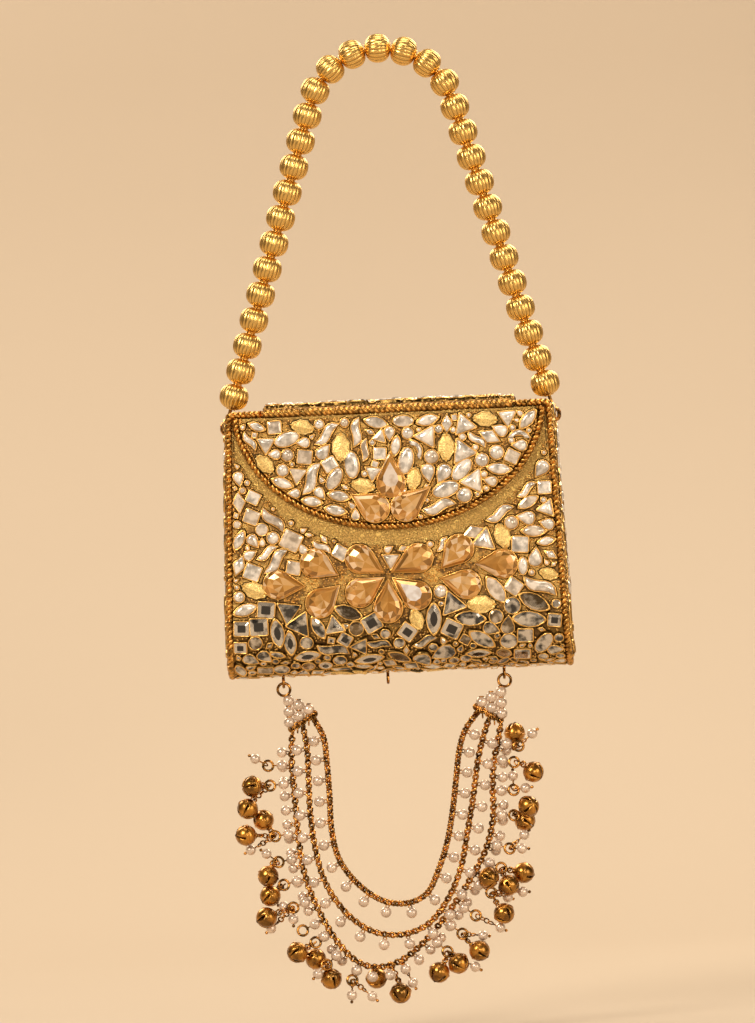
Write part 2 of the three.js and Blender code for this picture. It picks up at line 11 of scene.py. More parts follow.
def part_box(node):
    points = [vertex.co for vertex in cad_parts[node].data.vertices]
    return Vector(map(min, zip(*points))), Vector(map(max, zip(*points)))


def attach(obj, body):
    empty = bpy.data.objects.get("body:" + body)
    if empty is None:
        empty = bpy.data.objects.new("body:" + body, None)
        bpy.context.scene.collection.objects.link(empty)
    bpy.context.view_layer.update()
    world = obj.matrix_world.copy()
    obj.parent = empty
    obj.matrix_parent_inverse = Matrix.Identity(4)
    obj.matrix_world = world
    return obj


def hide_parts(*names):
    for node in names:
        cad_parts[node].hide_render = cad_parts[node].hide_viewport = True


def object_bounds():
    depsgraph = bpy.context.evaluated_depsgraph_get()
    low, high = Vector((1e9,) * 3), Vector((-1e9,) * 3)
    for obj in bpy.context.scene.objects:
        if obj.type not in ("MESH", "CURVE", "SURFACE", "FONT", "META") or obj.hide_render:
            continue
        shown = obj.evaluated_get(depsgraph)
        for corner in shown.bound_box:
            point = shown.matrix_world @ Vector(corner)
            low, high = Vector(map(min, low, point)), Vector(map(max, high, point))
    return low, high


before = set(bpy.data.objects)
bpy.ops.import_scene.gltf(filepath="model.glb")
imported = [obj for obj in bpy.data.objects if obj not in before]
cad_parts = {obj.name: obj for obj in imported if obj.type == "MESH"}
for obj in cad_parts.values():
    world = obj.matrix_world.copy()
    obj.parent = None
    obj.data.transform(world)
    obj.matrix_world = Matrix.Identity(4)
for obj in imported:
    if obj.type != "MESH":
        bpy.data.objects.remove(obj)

bl_info = {
    "name": "Embellished clutch",
    "version": (1, 0, 0),
    "blender": (4, 5, 0),
    "location": "View3D > Sidebar > Clutch",
    "description": "Dresses the clutch with its stones, crystals, ropes, beads, chains, pearls and bells",
    "category": "Object",
}

CAD_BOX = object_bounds()

# Pieces are drawn in millimetres from the middle of the top of the case, x to the right, -y to the front and
# z up. SEAT carries them into the frame, whose origin is the top of the handle.
SEAT = Matrix.Translation((-0.002, 0, -0.16)) @ Matrix.Scale(0.001, 4)

# Faces of the case, in millimetres, as the CAD source has them. The sides flare by FLARE over the height.
TOP_HALF_WIDTH = 69.8
FLARE = 4.4
CASE_HEIGHT = 116.0
HALF_DEPTH = 23.0
BASE_CENTRE = -93.0
BED = 1.3
ROLL = HALF_DEPTH + BED
FLAP_FACE = -27.1
HINGE = (-25.3, -1.2)
HINGE_LENGTH = 110.0
KNUCKLES = 7
KNUCKLE_GAP = 0.12
ROPE_OUT = 1.131
EYELETS = (-52.8, -6.1, 45.8)

# Handle beads, in millimetres: gap from bead to bead, radius and length of a collar, and how far it goes in.
BEAD_GAP = 0.3
COLLAR_RADIUS = 2.1
COLLAR_LENGTH = 0.8
COLLAR_IN = 0.26

# Ropes, in millimetres: half axes of the flap's rope and the depth under the top where it starts, half axes
# and face of the wire inside it, the ends of an edge rope's run along the top, the radius of its bend, and
# the height at which it goes on straight. Then the edging's wire, and radius and pitch of the hinge's rope.
FLAP_ROPE = (68.1, 53.2)
FLAP_ROPE_TOP = 3.1
FLAP_EDGING = (66.0, 51.1)
FLAP_EDGING_FACE = -26.5
EDGE_ROPE_TOP = (56.6, 69.6)
EDGE_ROPE_BEND = 1.4
EDGE_ROPE_CORNER = -3
FLAP_EDGING_WIRE = 0.6
KNUCKLE_ROPE = 2.15
KNUCKLE_PITCH = 7.0

# Lining, in millimetres: longest edge of its mesh, radius round the base, step of the stitching, padding.
LINING_EDGE = 3.2
LINING_ROLL = 21
QUILT = 16
PADDING = 0.75

# The picture: its height in pixels, the pixel at the middle of the case's top edge, millimetres of the front
# for a pixel, and what a pixel comes to along x and z with the camera's roll.
PICTURE_ROWS = 1023
PICTURE_MIDDLE = (388, 406)
PIXEL = 0.443
PIXEL_ALONG, PIXEL_ACROSS = 0.44258, 0.019324

# The camera: where it looks, in millimetres, its distance and the end of its sight in metres, its turn to the
# right and its roll in degrees, and its sensor in millimetres.
VIEW_MIDDLE = (-6.7, -25, -46.5)
VIEW_AWAY = 3.5
VIEW_TURN = 2.0
VIEW_ROLL = 2.5
VIEW_END = 20
SENSOR = 36

# The lamps: place from the middle of the view and size in metres, power in watts, colour.
LAMPS = {
    "key": ((-1.5, -2.3, 1.5), 1.0, 60, (1, 0.89, 0.74)),
    "fill": ((2.2, -1.8, 0.5), 1.4, 22, (1, 0.86, 0.68)),
    "top": ((0.2, -0.2, 2.6), 1.4, 32, (1, 0.91, 0.78)),
    "glint": ((0.7, -2.6, 0.3), 0.44, 10, (1, 0.9, 0.76)),
    "back": ((0.5, 0.75, 0.7), 0.6, 7, (1, 0.88, 0.7)),
    "rear": ((-0.7, 0.9, 0.75), 0.6, 7, (1, 0.88, 0.7)),
}
ROOM_LIGHT = (0.19, 0.14, 0.09)

# The backdrop in metres: gap under the part, front edge, start and radius of the bend, height and half width.
FLOOR_GAP = 0.03
FLOOR_FRONT = -5.0
BEND_START = 0.7
BEND_RADIUS = 0.5
WALL_HEIGHT = 3.0
FLOOR_HALF_WIDTH = 4.0

# Routes of the chains as the CAD source has them: x and z, with both ends on the bars of the end clusters.
ROUTES = {
    "inner": (-2.0, [
        (-39.76, -138.28), (-36, -146), (-35, -157), (-34.4, -172), (-34.1, -188), (-31.2, -201),
        (-23, -212.5), (-12, -220.2), (-1, -221.4), (7.2, -217.4), (12.6, -207.5), (17, -195.5), (20, -182),
        (22.2, -168), (24.6, -153), (27.6, -145), (32.76, -138.28)]),
    "middle": (0.0, [
        (-44.9, -141.45), (-43.6, -151), (-43.5, -163), (-43.5, -178), (-41.8, -196), (-37.6, -212),
        (-28, -226.3), (-16.4, -234.1), (-4, -235.4), (7, -231.3), (16, -221), (22.4, -207.6), (26.4, -190.5),
        (29.8, -174), (32.4, -159), (35, -149.5), (37.9, -141.45)]),
    "outer": (2.0, [
        (-50.05, -144.63), (-50.8, -156), (-50.2, -171), (-49.5, -187), (-47.4, -206), (-42, -222.5),
        (-33.4, -238.3), (-24.7, -247.3), (-16, -249.7), (-6, -247.2), (5, -239.2), (14, -229.2),
        (24.9, -214.8), (34, -199.4), (38, -185), (38.4, -171), (39.4, -160), (41.2, -153),
        (43.05, -144.63)]),
}

# Along the chains, in millimetres: wire of a link, step between the inner pearls, and how far pearls and
# their eyes stand out. Depths that hanging pieces may take, the chain's own first.
LINK_WIRE = 0.64
PEARL_STEP = 9.6
PEARL_OUT = 4.6
EYE_OUT = 1.9
HANGING_DEPTHS = (2, 4.5, -0.5, 7, -3, 9.5, -5.5, 12, -8)

# Wire rings of the festoon: radius of the ring and of its wire, in millimetres. Then the wire of the pins and
# of the small links that join a bell or a drop to its hold.
CHAIN_EYE = (0.75, 0.28)
ROW_EYE = (0.7, 0.26)
JUMP_RING = (2.3, 0.58)
PEARL_CUP = (1.0, 0.3)
CLUSTER_LINK = (2.8, 0.62)
BAR_RING = (1.35, 0.4)
BELL_LOOP = (1.3, 0.42)
PIN_WIRE = 0.36
JOIN_WIRE = 0.38

# A bell, in millimetres: wall, wire of the seam round its middle and radius of the pellet inside.
BELL_WALL = 0.4
BELL_SEAM = 0.3
PELLET = 1.6

# An end cluster: height of its ring, inward and downward place of its first pearl from the eyelet and the top
# of the case, and the steps to the next column and the next row. Then how far its bar lies from the pearls,
# and the radius and pitch of the rope that the bar is.
CLUSTER_RING = -124.1
CLUSTER_START = (1.82, 129.24)
CLUSTER_COLUMN = (4.42, 2.08)
CLUSTER_ROW = 4.81
BAR_BELOW = 3.15
BAR_RADIUS = 1.15
BAR_PITCH = 3.2

# Bells of the fringe, x and z of each.
BELLS = [
    (-69, -166.8), (-71.4, -176.7), (-72.7, -188.5), (-64.8, -182.2), (-63.5, -207.1), (-63.1, -216.1),
    (-65.1, -225.6), (-52, -241.7), (-44.1, -245.2), (-37.4, -254.2), (-17.4, -255.1), (-6.7, -261.7),
    (10.9, -253.2), (19.8, -249.5), (29.3, -244.3), (41, -228.1), (35, -211.7), (43.7, -215.6),
    (50.5, -210.6), (52, -187.3), (54.1, -180.7), (56.8, -165.6), (49.1, -148.1)]

# Jump rings and pearl drops of the fringe, as points of the picture.
RINGS = [
    (265, 768), (267, 788), (272, 839), (275.5, 865), (281, 888), (290.5, 911), (300, 934), (313, 946),
    (324, 968.5), (350, 984), (446, 955), (461, 937), (474.5, 918.5), (490, 895.5), (500, 870.5),
    (508.5, 851), (513, 817.5), (512.5, 792), (513, 764), (517.5, 747.5)]
DROPS = [
    (252, 761), (247.3, 853.3), (263.3, 856.8), (280.7, 910), (290.6, 922.8), (267.5, 932.7), (315.4, 977.6),
    (349.6, 999.2), (370, 1000.3), (411, 986.4), (474, 970.2), (481.6, 939), (499, 930.9), (506.4, 900.8),
    (521.7, 895), (521, 851), (523.3, 837.1), (524.4, 790.1), (511.7, 778.1), (531.4, 735.2)]

# Pear-cut crystals as the CAD source has them: x and z of the middle, turn of the point in degrees, length.
FLAP_CRYSTALS = [(-0.1, -30.4, 90, 19.2), (-10.1, -43.4, 149, 17.8), (9.1, -42.6, 36, 20)]
FRONT_CRYSTALS = [
    (7.2, -69.4, 206, 19.4), (-12.8, -68.8, 328, 18.4), (-13.2, -80.6, 30, 18.4), (-3.7, -86.2, 88, 18.6),
    (6.4, -82.2, 142, 19), (-33.2, -69.5, 332, 17.4), (-31.8, -84.3, 40, 17.4), (-49.4, -77.3, 354, 17.8),
    (26.8, -66.5, 225, 17.6), (28.5, -79.6, 165, 17.8), (44.8, -71.8, 178, 18.2)]

# Crystals whose tables get a painted reflection, by their middles, with the tone of the table.
PAINTED_REFLECTION_TABLES = {(6.4, -82.2): 1.0, (-0.1, -30.4): 0.94}

# How much longer a crystal is drawn than the CAD's, and the width and rise of its rim, in millimetres.
CRYSTAL_OVER = 0.8
CRYSTAL_RIM = 0.6
CRYSTAL_RIM_RISE = 1.1

# Stones laid one by one. Each view gives its left, its top and its enlargement, then for each stone the kind,
# x,
# y, turn in degrees and length, and g for a grey stone or k for a mirror with a dark middle. Kinds:
# m marquise, d drop, o oval, r round, q square, t triangle, h rhombus, s wave, c crescent, l stamped leaf.
FLAP_STONES = [
    (210, 395, 8.711, """
    m 390 250 20 185, q 568 255 -5 125 g, r 965 235 0 105, r 1172 222 0 95, s 1275 325 100 265,
    m 1437 218 12 225 g, s 300 385 60 255, t 440 415 90 190, o 645 390 -20 225, d 800 415 180 130,
    s 995 340 -40 275, d 1000 455 -50 165, d 545 530 180 125, r 672 525 0 115, q 825 540 5 130 g,
    r 600 648 0 115, t 770 695 95 180 g, q 1040 595 -30 115, o 1237 610 85 225, s 885 745 -60 300,
    o 1085 730 -60 215, m 600 775 20 205, d 705 875 180 130, d 945 850 50 130, m 865 945 8 205,
    m 1125 880 10 175, m 1090 1015 10 215, d 1268 1055 -90 110 g, t 1425 675 95 180,
    s 1350 480 100 210 g, t 1478 345 45 150 g, q 1480 510 0 110, l 810 268 12 210, l 1140 455 90 230,
    l 445 640 45 240, l 1335 790 10 205"""),
    (380, 395, 7.84, """
    o 178 180 0 170 g, m 375 190 -15 190, h 525 205 90 165, t 660 235 10 180, t 1015 165 85 180,
    m 1180 160 -50 210, d 70 305 90 125, r 215 290 0 100, t 370 325 180 185, d 945 260 -155 140,
    h 860 325 25 160, s 760 350 45 165, c 1095 305 0 190, d 1090 395 180 130, t 650 445 5 180,
    r 915 450 0 105, q 1048 497 25 115 g, m 125 400 100 140, o 205 515 100 205, c 290 420 60 190,
    r 405 485 0 105, r 800 510 0 105, m 950 580 5 210, o 640 585 -50 200, d 380 615 80 135,
    d 495 620 120 170, t 735 675 175 175, d 865 675 -170 125, o 515 745 -20 210, r 663 785 0 110,
    s 465 870 -10 260, l 820 160 5 195, l 520 400 90 210, l 265 665 100 190"""),
]
FRONT_STONES = [
    (210, 395, 8.711, """
    d 230 730 80 145, h 232 925 85 210 g, q 370 890 25 120, q 340 1080 20 135 g, s 545 1090 50 270,
    r 183 1130 0 120 g, r 447 1170 0 110 g"""),
    (210, 520, 8.2526, """
    m 210 185 -65 200, d 358 180 50 130, r 512 178 0 115, q 672 175 25 135 g, h 205 380 -70 200,
    d 330 290 -30 125, s 498 288 -30 195, s 525 385 -45 290, q 335 438 20 135, q 700 390 10 125 g,
    d 785 265 -120 110, s 925 225 35 190, q 1095 265 30 125 g, s 1290 225 30 190, t 1500 300 90 180,
    r 190 630 0 115, m 270 750 -20 225, q 462 745 3 120 k, t 645 755 95 200 g, q 258 900 0 110 k,
    q 400 885 -3 130 k, m 555 935 80 225 k, t 740 865 175 190 g, m 893 890 60 190 g, t 1025 880 20 190 k,
    m 1140 765 20 180 g, r 1207 895 0 110 g, q 1335 850 -30 120 k, q 1112 985 30 110 k,
    m 660 1015 85 190 k, q 230 1055 0 115 k, r 370 1015 0 110 g, r 795 1010 0 95 g, s 1010 1065 20 270 g,
    t 1240 1040 -60 140 g, s 1390 1020 10 190 g, d 450 1130 45 140 g, d 335 1155 30 140 g,
    m 800 1120 -15 190 k, m 550 1110 15 130 g, m 1310 1140 -10 180 k, m 240 1240 75 180 g,
    q 445 1240 0 95 g, r 580 1230 0 100 g, l 345 590 20 235"""),
    (380, 395, 7.84, """
    d 1275 580 125 165, q 1315 720 -3 115, s 1150 745 -35 170, s 935 910 -25 245, m 1160 835 -30 185 g,
    t 1310 890 -70 170, d 1140 960 -170 140, r 1030 1000 0 115, d 1345 1005 -165 130,
    h 720 1045 -20 190 g, m 1205 1065 0 195"""),
    (390, 520, 7.84, """
    h 105 180 -25 175 g, r 285 155 0 95, s 430 150 -55 260, t 740 160 -80 175, q 1020 190 2 120,
    m 1270 155 -12 220, d 1140 285 -85 150, h 1300 290 30 180, o 1043 360 90 125, m 830 545 55 215 g,
    q 970 520 35 120, s 1180 515 30 280, m 1130 640 25 240 g, r 960 670 0 115 g, r 1350 655 0 105 g,
    t 490 660 10 180 g, m 343 775 90 195 k, m 630 770 3 230 g, r 832 755 0 110 g, m 1090 775 3 220 g,
    q 1305 770 5 115 k, d 925 815 -85 125 g, q 140 870 35 125 k, q 485 850 25 130 k, d 800 850 20 130 g,
    m 720 930 35 220 g, r 930 945 0 110 g, q 590 935 30 85 g, r 70 960 0 80 g, s 270 950 -20 150 g,
    o 1205 955 -60 195 g, q 1060 900 0 100 g, r 1345 915 0 80 g, d 1300 1010 0 140 g, r 890 1035 0 90 g,
    m 690 1040 0 150 k, r 590 1080 0 70 g, q 1035 1045 0 95 g, d 410 1040 150 150 g, m 70 1070 30 150 g,
    d 260 1090 60 140 g, l 880 125 70 200, l 1290 430 15 200, l 715 660 0 220, l 200 760 70 180"""),
]

# Width of each kind of stone as a share of its length.
STONE_WIDTHS = {
    "m": 0.48, "d": 0.76, "o": 0.58, "r": 1, "q": 0.95, "t": 0.9, "h": 0.58, "s": 0.36, "c": 0.46, "l": 0.6}
# Length of each kind where it is laid without a reading.
STONE_LENGTHS = {
    "m": 9.6, "d": 7.4, "o": 9.2, "r": 5.6, "q": 6.2, "t": 8.4, "h": 9, "s": 12, "c": 9.6, "l": 11}
# Kinds that are strewn over the hidden faces, and small ones that fill gaps, each as often as it is drawn.
STREWN_KINDS = "mmmddoorrqqtthsslc"
SMALL_KINDS = "rrrddqh"
# Swing of a wave-cut stone's middle line, as a share of its length.
WAVE = 0.075
# Width of the skirt round each rim and leaf, painted dark as their shadow on the bed, and the depth of its
# foot in the bed.
SHADOW_SKIRT = 0.36
FOOT = -1.25
# How much a stone grows over the size at which it clears its neighbours, so that rims touch.
SNUG = 1.07
# How close a stone may come to a neighbour, as a share of its own size.
NEARNESS = 0.91
# Settling: push off the edge of the ground, push off a neighbour and the most in one round, in millimetres.
EDGE_PUSH = 0.22
STONE_PUSH = 0.12
MOST_PUSH = 0.5
# Narrowest stone that is kept, longest one that fills a gap, and the step by which stones of one cut differ.
LEAST_WIDTH = 1.7
MOST_FILL = 6.6
CUT_STEP = 0.3
# How crooked stones sit, in radians, and the radius of a gold granule.
LEAN = 0.04
GRANULE = 0.55
# Step between the points that stand for the ground of a face.
GROUND_STEP = 1.1
# Ground of the stones on each face, in millimetres: half axes on the flap and round it on the front, half
# sides of the top, half width of the ends, and what is left free at the sides of the wrap, at the top of its
# back, round an eyelet and a staple and, by the small stones that fill gaps, round a crystal. Stones go under
# the edge of a crystal by UNDER_CRYSTAL.
FLAP_GROUND = (66.7, 51.8)
FLAP_GROUND_TOP = -4.2
UNDER_FLAP = (72, 61.8)
TOP_GROUND = (55.4, 19.6)
END_GROUND = 22
END_GROUND_TOP = -1.6
SIDE_ROOM = 0.3
BACK_ROOM = 4
EYELET_ROOM = 2.6
STAPLE_ROOM = (6.8, 11.6)
CRYSTAL_ROOM = 4.4
UNDER_CRYSTAL = 0.5
# Stones are glass, white or beige, above MIRROR_LINE. On the wrap there are mirrors from there round the base
# to BACK_LINE, and white glass again above that on the back.
MIRROR_LINE = -86.0
BACK_LINE = -190.0
# Heights in the frame, in metres, between which the bed turns dark towards the base.
DARK_BED = (-0.262, -0.24)


def length(name, description, default):
    return FloatProperty(name=name, description=description, default=default, unit="LENGTH", precision=5)


def colour(name, description, default):
    return FloatVectorProperty(
        name=name, description=description, default=default, subtype="COLOR", size=3, min=0, max=1)


class ClutchSizes(bpy.types.PropertyGroup):
    bead_ribs: IntProperty(
        name="Bead ribs", description="Ribs round a handle bead", default=20, min=6, max=32)
    rib_depth: length("Rib depth", "Depth of the grooves of a bead", 0.00045)
    bead_radius: length("Bead radius", "Outside of a handle bead", 0.0065)
    rope_radius: length("Rope radius", "Outside of the twisted rope", 0.0017)
    rope_pitch: length("Rope pitch", "One turn of a strand of the rope", 0.0046)
    rim: length("Stone rim", "Thickness of the rim round a stone", 0.00052)
    rise: length("Stone rise", "Height of a stone's rim over its bed", 0.00105)
    stone_gap: length("Stone gap", "Ground left round each stone", 0.0001)
    crystal_rise: length("Crystal rise", "Height of a crystal over its bed", 0.0033)
    crystal_width: length("Crystal width", "Width of a pear-cut crystal", 0.0127)
    pearl: length("Pearl radius", "Radius of a strung pearl", 0.0025)
    bell: length("Bell radius", "Radius of a round bell", 0.0047)
    chain_width: length("Chain width", "Width across a chain's links", 0.0036)
    link_pitch: length("Link pitch", "Step from link to link", 0.00175)


class ClutchColours(bpy.types.PropertyGroup):
    sheet: colour("Sheet", "Grained gold sheet", (0.6, 0.38, 0.12))
    bed: colour("Bed", "Gold paste between the stones", (0.5, 0.26, 0.062))
    rim: colour("Rims", "Rims of the stones", (0.78, 0.47, 0.14))
    bead: colour("Beads", "Polished gold of the handle beads", (0.9, 0.58, 0.18))
    rope: colour("Rope", "Twisted gold rope", (0.66, 0.35, 0.085))
    chain: colour("Chain", "Antique gold of chains and rings", (0.4, 0.19, 0.045))
    bell: colour("Bells", "Brown gold of the bells", (0.44, 0.205, 0.032))
    leaf: colour("Leaves", "Pale gold of the stamped leaves", (0.9, 0.66, 0.26))
    pearl: colour("Pearls", "Cream pearl", (0.72, 0.58, 0.47))
    glass: colour("Glass", "Milky glass of the pale stones", (0.78, 0.73, 0.67))
    mirror: colour("Mirror", "Silvered glass of the low stones", (0.58, 0.54, 0.48))
    amber: colour("Crystal", "Champagne crystal", (0.8, 0.43, 0.125))
    velvet: colour("Lining", "Brown velvet", (0.07, 0.03, 0.012))
    steel: colour("Magnets", "Plated steel", (0.56, 0.55, 0.53))
    floor: colour("Backdrop", "Plain pale floor and backdrop", (0.52, 0.43, 0.335))


def sizes():
    return bpy.context.scene.clutch_sizes


def colours():
    return bpy.context.scene.clutch_colours


def mm(metres):
    return metres * 1000


class Wire:
    """A node's socket that takes part in Python sums. Each sum on values adds one Math node."""

    def __init__(self, finish, socket):
        self.finish = finish
        self.socket = socket

    def math(self, operation, first, second):
        return self.finish.add("ShaderNodeMath", {"operation": operation}, {0: first, 1: second})

    def __add__(self, other):
        return self.math("ADD", self, other)

    def __radd__(self, other):
        return self.math("ADD", other, self)

    def __sub__(self, other):
        return self.math("SUBTRACT", self, other)

    def __rsub__(self, other):
        return self.math("SUBTRACT", other, self)

    def __mul__(self, other):
        return self.math("MULTIPLY", self, other)

    def __rmul__(self, other):
        return self.math("MULTIPLY", other, self)


class Nodes:
    """A node tree built up by expressions."""

    def __init__(self, owner):
        owner.use_nodes = True
        self.tree = owner.node_tree
        self.tree.nodes.clear()

    def add(self, kind, settings, inputs, output=0):
        node = self.tree.nodes.new(kind)
        for key, value in settings.items():
            if key == "stops":
                ramp = node.color_ramp.elements
                while len(ramp) < len(value):
                    ramp.new(0.5)
                for element, (place, tint) in zip(ramp, value):
                    element.position = place
                    element.color = (*tint, 1)
            else:
                setattr(node, key, value)
        for key, value in inputs.items():
            self.feed(node.inputs[key], value)
        return Wire(self, node.outputs[output]) if output is not None else None

    def feed(self, socket, value):
        if isinstance(value, Wire):
            self.tree.links.new(value.socket, socket)
        elif socket.type == "RGBA":
            socket.default_value = (*value[:3], 1)
        else:
            socket.default_value = value

    def mix(self, first, second, share):
        node = self.add("ShaderNodeMix", {"data_type": "RGBA"}, {}, 2).socket.node
        self.feed(node.inputs[0], share)
        self.feed(node.inputs[6], first)
        self.feed(node.inputs[7], second)
        return Wire(self, node.outputs[2])


class Finish(Nodes):
    """A material with one Principled shader, and the tint that its tones are shades of."""

    def __init__(self, name, tint, **constants):
        self.tint = tuple(getattr(colours(), tint))
        self.material = bpy.data.materials.new(name)
        super().__init__(self.material)
        self.shader = self.tree.nodes.new("ShaderNodeBsdfPrincipled")
        self.end = self.tree.nodes.new("ShaderNodeOutputMaterial").inputs["Surface"]
        self.tree.links.new(self.shader.outputs[0], self.end)
        for key, value in constants.items():
            self.set(key.replace("_", " ").title().replace("Ior", "IOR"), value)

    def set(self, name, value):
        self.feed(self.shader.inputs[name], value)

    def place(self):
        return self.add("ShaderNodeTexCoord", {}, {}, "Object")

    def height(self):
        return self.add("ShaderNodeSeparateXYZ", {}, {0: self.place()}, "Z")

    def noise(self, per_metre, detail):
        return self.add(
            "ShaderNodeTexNoise", {}, {"Vector": self.place(), "Scale": per_metre, "Detail": detail})

    def cells(self, per_metre, output="Distance"):
        return self.add("ShaderNodeTexVoronoi", {}, {"Vector": self.place(), "Scale": per_metre}, output)

    def own(self, name):
        return self.add("ShaderNodeAttribute", {"attribute_name": name}, {}, "Fac")

    def ramp(self, value, *stops):
        return self.add("ShaderNodeValToRGB", {"stops": stops}, {"Fac": value}, "Color")

    def level(self, value, low, high, to_low=0.0, to_high=1.0):
        return self.add(
            "ShaderNodeMapRange", {"clamp": True},
            {"Value": value, "From Min": low, "From Max": high, "To Min": to_low, "To Max": to_high})

    def bump(self, height, distance, strength=1.0):
        self.set("Normal", self.add(
            "ShaderNodeBump", {}, {"Height": height, "Distance": distance, "Strength": strength}))

    def shades(self, low, high, share):
        """From one shade of the tint to another."""
        return self.mix(shade(self.tint, low), shade(self.tint, high), share)

    def over(self, base, level, share):
        """A colour with a shade of the tint over part of it."""
        return self.mix(base, shade(self.tint, level), share)


def shade(tint, share):
    return tuple(min(1.0, channel * share) for channel in tint)


def grained_gold():
    """Gold sheet with a fine glittering grain."""
    finish = Finish("grained_gold", "sheet", metallic=1.0)
    grain = finish.noise(1700, 3)
    spark = finish.cells(1500, "Color")
    glint = finish.level(finish.add("ShaderNodeSeparateColor", {}, {"Color": spark}), 0.72, 0.95)
    cloud = finish.level(finish.noise(60, 2), 0.45, 0.7)
    base = finish.shades(0.4, 1.25, finish.level(grain, 0.36, 0.64))
    finish.set("Base Color", finish.over(finish.over(base, 1.9, glint * 0.7), 0.75, cloud * 0.5))
    finish.set("Roughness", 0.5 - glint * 0.22)
    finish.bump(grain + glint * 0.6, 0.0003, 0.8)
    return finish.material


def bed_gold():
    """The rough gold paste that the stones sit in, dark in its hollows and bright in patches."""
    bright_gold = (0.9, 0.58, 0.18)
    finish = Finish("bed_gold", "bed")
    lumps = finish.cells(620)
    grain = finish.noise(2200, 3)
    bright = finish.level(finish.noise(150, 3), 0.47, 0.6)
    low = finish.shades(0.3, 1.1, finish.level(lumps, 0.75, 0.15))
    base = finish.over(finish.mix(low, bright_gold, bright * 0.9), 0.14, finish.level(grain, 0.6, 0.4) * 0.5)
    high = finish.level(finish.height(), *DARK_BED, 0.3)
    finish.set("Base Color", finish.mix(shade(finish.tint, 0.12), base, high))
    finish.set("Metallic", 0.55 + bright * 0.4)
    finish.set("Roughness", 0.34 + grain * 0.25)
    finish.bump(grain * 0.4 - lumps, 0.0004, 0.5)
    return finish.material


def rim_gold():
    """Bright edges of the stone rims, and flanks and skirts painted brown-black as shade."""
    finish = Finish("rim_gold", "rim", metallic=1.0)
    wear = finish.noise(420, 3)
    # Painted shade: the flanks and the skirt round each stone are nearly black, varied a little by the wear
    # noise.
    flank = finish.shades(0.08, 0.26, finish.level(wear, 0.35, 0.65))
    base = finish.over(flank, 1.15, finish.own("crest"))
    finish.set("Base Color", finish.over(base, 0.5, finish.level(wear, 0.58, 0.75) * 0.6))
    finish.set("Roughness", 0.2 + wear * 0.22)
    finish.bump(finish.noise(1500, 2), 0.00008, 0.5)
    return finish.material


def bead_gold():
    """Polished ribs, with painted shade in the grooves and towards the bead's ends."""
    finish = Finish("bead_gold", "bead", metallic=1.0)
    rib = finish.own("rib")
    wear = finish.noise(300, 3)
    # Painted shade: the gold is darkened where the rib layer is low, in the grooves and near the ends.
    base = finish.shades(0.36, 1, finish.level(rib, 0.05, 0.55))
    finish.set("Base Color", finish.over(base, 0.72, finish.level(wear, 0.5, 0.72) * 0.4))
    finish.set("Roughness", finish.level(rib, 0.0, 1.0, 0.4, 0.2) + wear * 0.08)
    finish.bump(finish.noise(1300, 2), 0.00003, 0.25)
    return finish.material


def rope_gold():
    """Twisted wire, bright on its strands and brown between them."""
    finish = Finish("rope_gold", "rope", metallic=1.0)
    wear = finish.noise(500, 3)
    finish.set("Base Color", finish.shades(0.3, 1.2, finish.level(wear, 0.36, 0.6)))
    finish.set("Roughness", 0.22 + wear * 0.2)
    finish.bump(finish.noise(2400, 1), 0.00006, 0.5)
    return finish.material


def chain_gold():
    """Antique gold, nearly brown in places."""
    finish = Finish("chain_gold", "chain", metallic=1.0)
    wear = finish.noise(380, 3)
    finish.set("Base Color", finish.shades(0.26, 1.8, finish.level(wear, 0.4, 0.62)))
    finish.set("Roughness", 0.12 + wear * 0.22)
    finish.bump(finish.noise(1800, 1), 0.00005, 0.4)
    return finish.material


def bell_gold():
    """Brown gold lacquer with worn bright patches."""
    finish = Finish("bell_gold", "bell", metallic=1.0, coat_weight=0.4, coat_roughness=0.12)
    wear = finish.noise(190, 3)
    fine = finish.noise(1500, 2)
    base = finish.shades(0.45, 1.5, finish.level(wear, 0.36, 0.64))
    finish.set("Base Color", finish.over(base, 2.2, finish.level(fine, 0.62, 0.75) * 0.5))
    finish.set("Roughness", 0.16 + wear * 0.24)
    finish.bump(fine, 0.00005, 0.4)
    return finish.material


def leaf_gold():
    """Pale stamped foil with a hammered grain, and a skirt painted dark as its shadow."""
    finish = Finish("leaf_gold", "leaf", metallic=0.9)
    grain = finish.cells(1500)
    vein = finish.noise(600, 2)
    base = finish.shades(0.6, 1.1, finish.level(grain, 0.1, 0.6))
    base = finish.over(base, 0.75, finish.level(vein, 0.5, 0.7) * 0.6)
    # Painted shadow: below its crest, down the skirt, the leaf is nearly black.
    finish.set("Base Color", finish.mix(shade(finish.tint, 0.09), base, finish.own("crest")))
    finish.set("Roughness", 0.34 + vein * 0.2)
    finish.bump(grain + vein * 0.4, 0.00018, 0.8)
    return finish.material


def pearl_glaze():
    """Cream pearl with a rosy cloud in it."""
    finish = Finish("pearl_glaze", "pearl", metallic=0.4, coat_weight=1.0, coat_roughness=0.06)
    cloud = finish.noise(260, 3)
    finish.set("Base Color", finish.shades(0.82, 1.2, finish.level(cloud, 0.36, 0.66)))
    finish.set("Roughness", 0.22 + cloud * 0.1)
    finish.bump(finish.noise(900, 1), 0.00003, 0.3)
    return finish.material


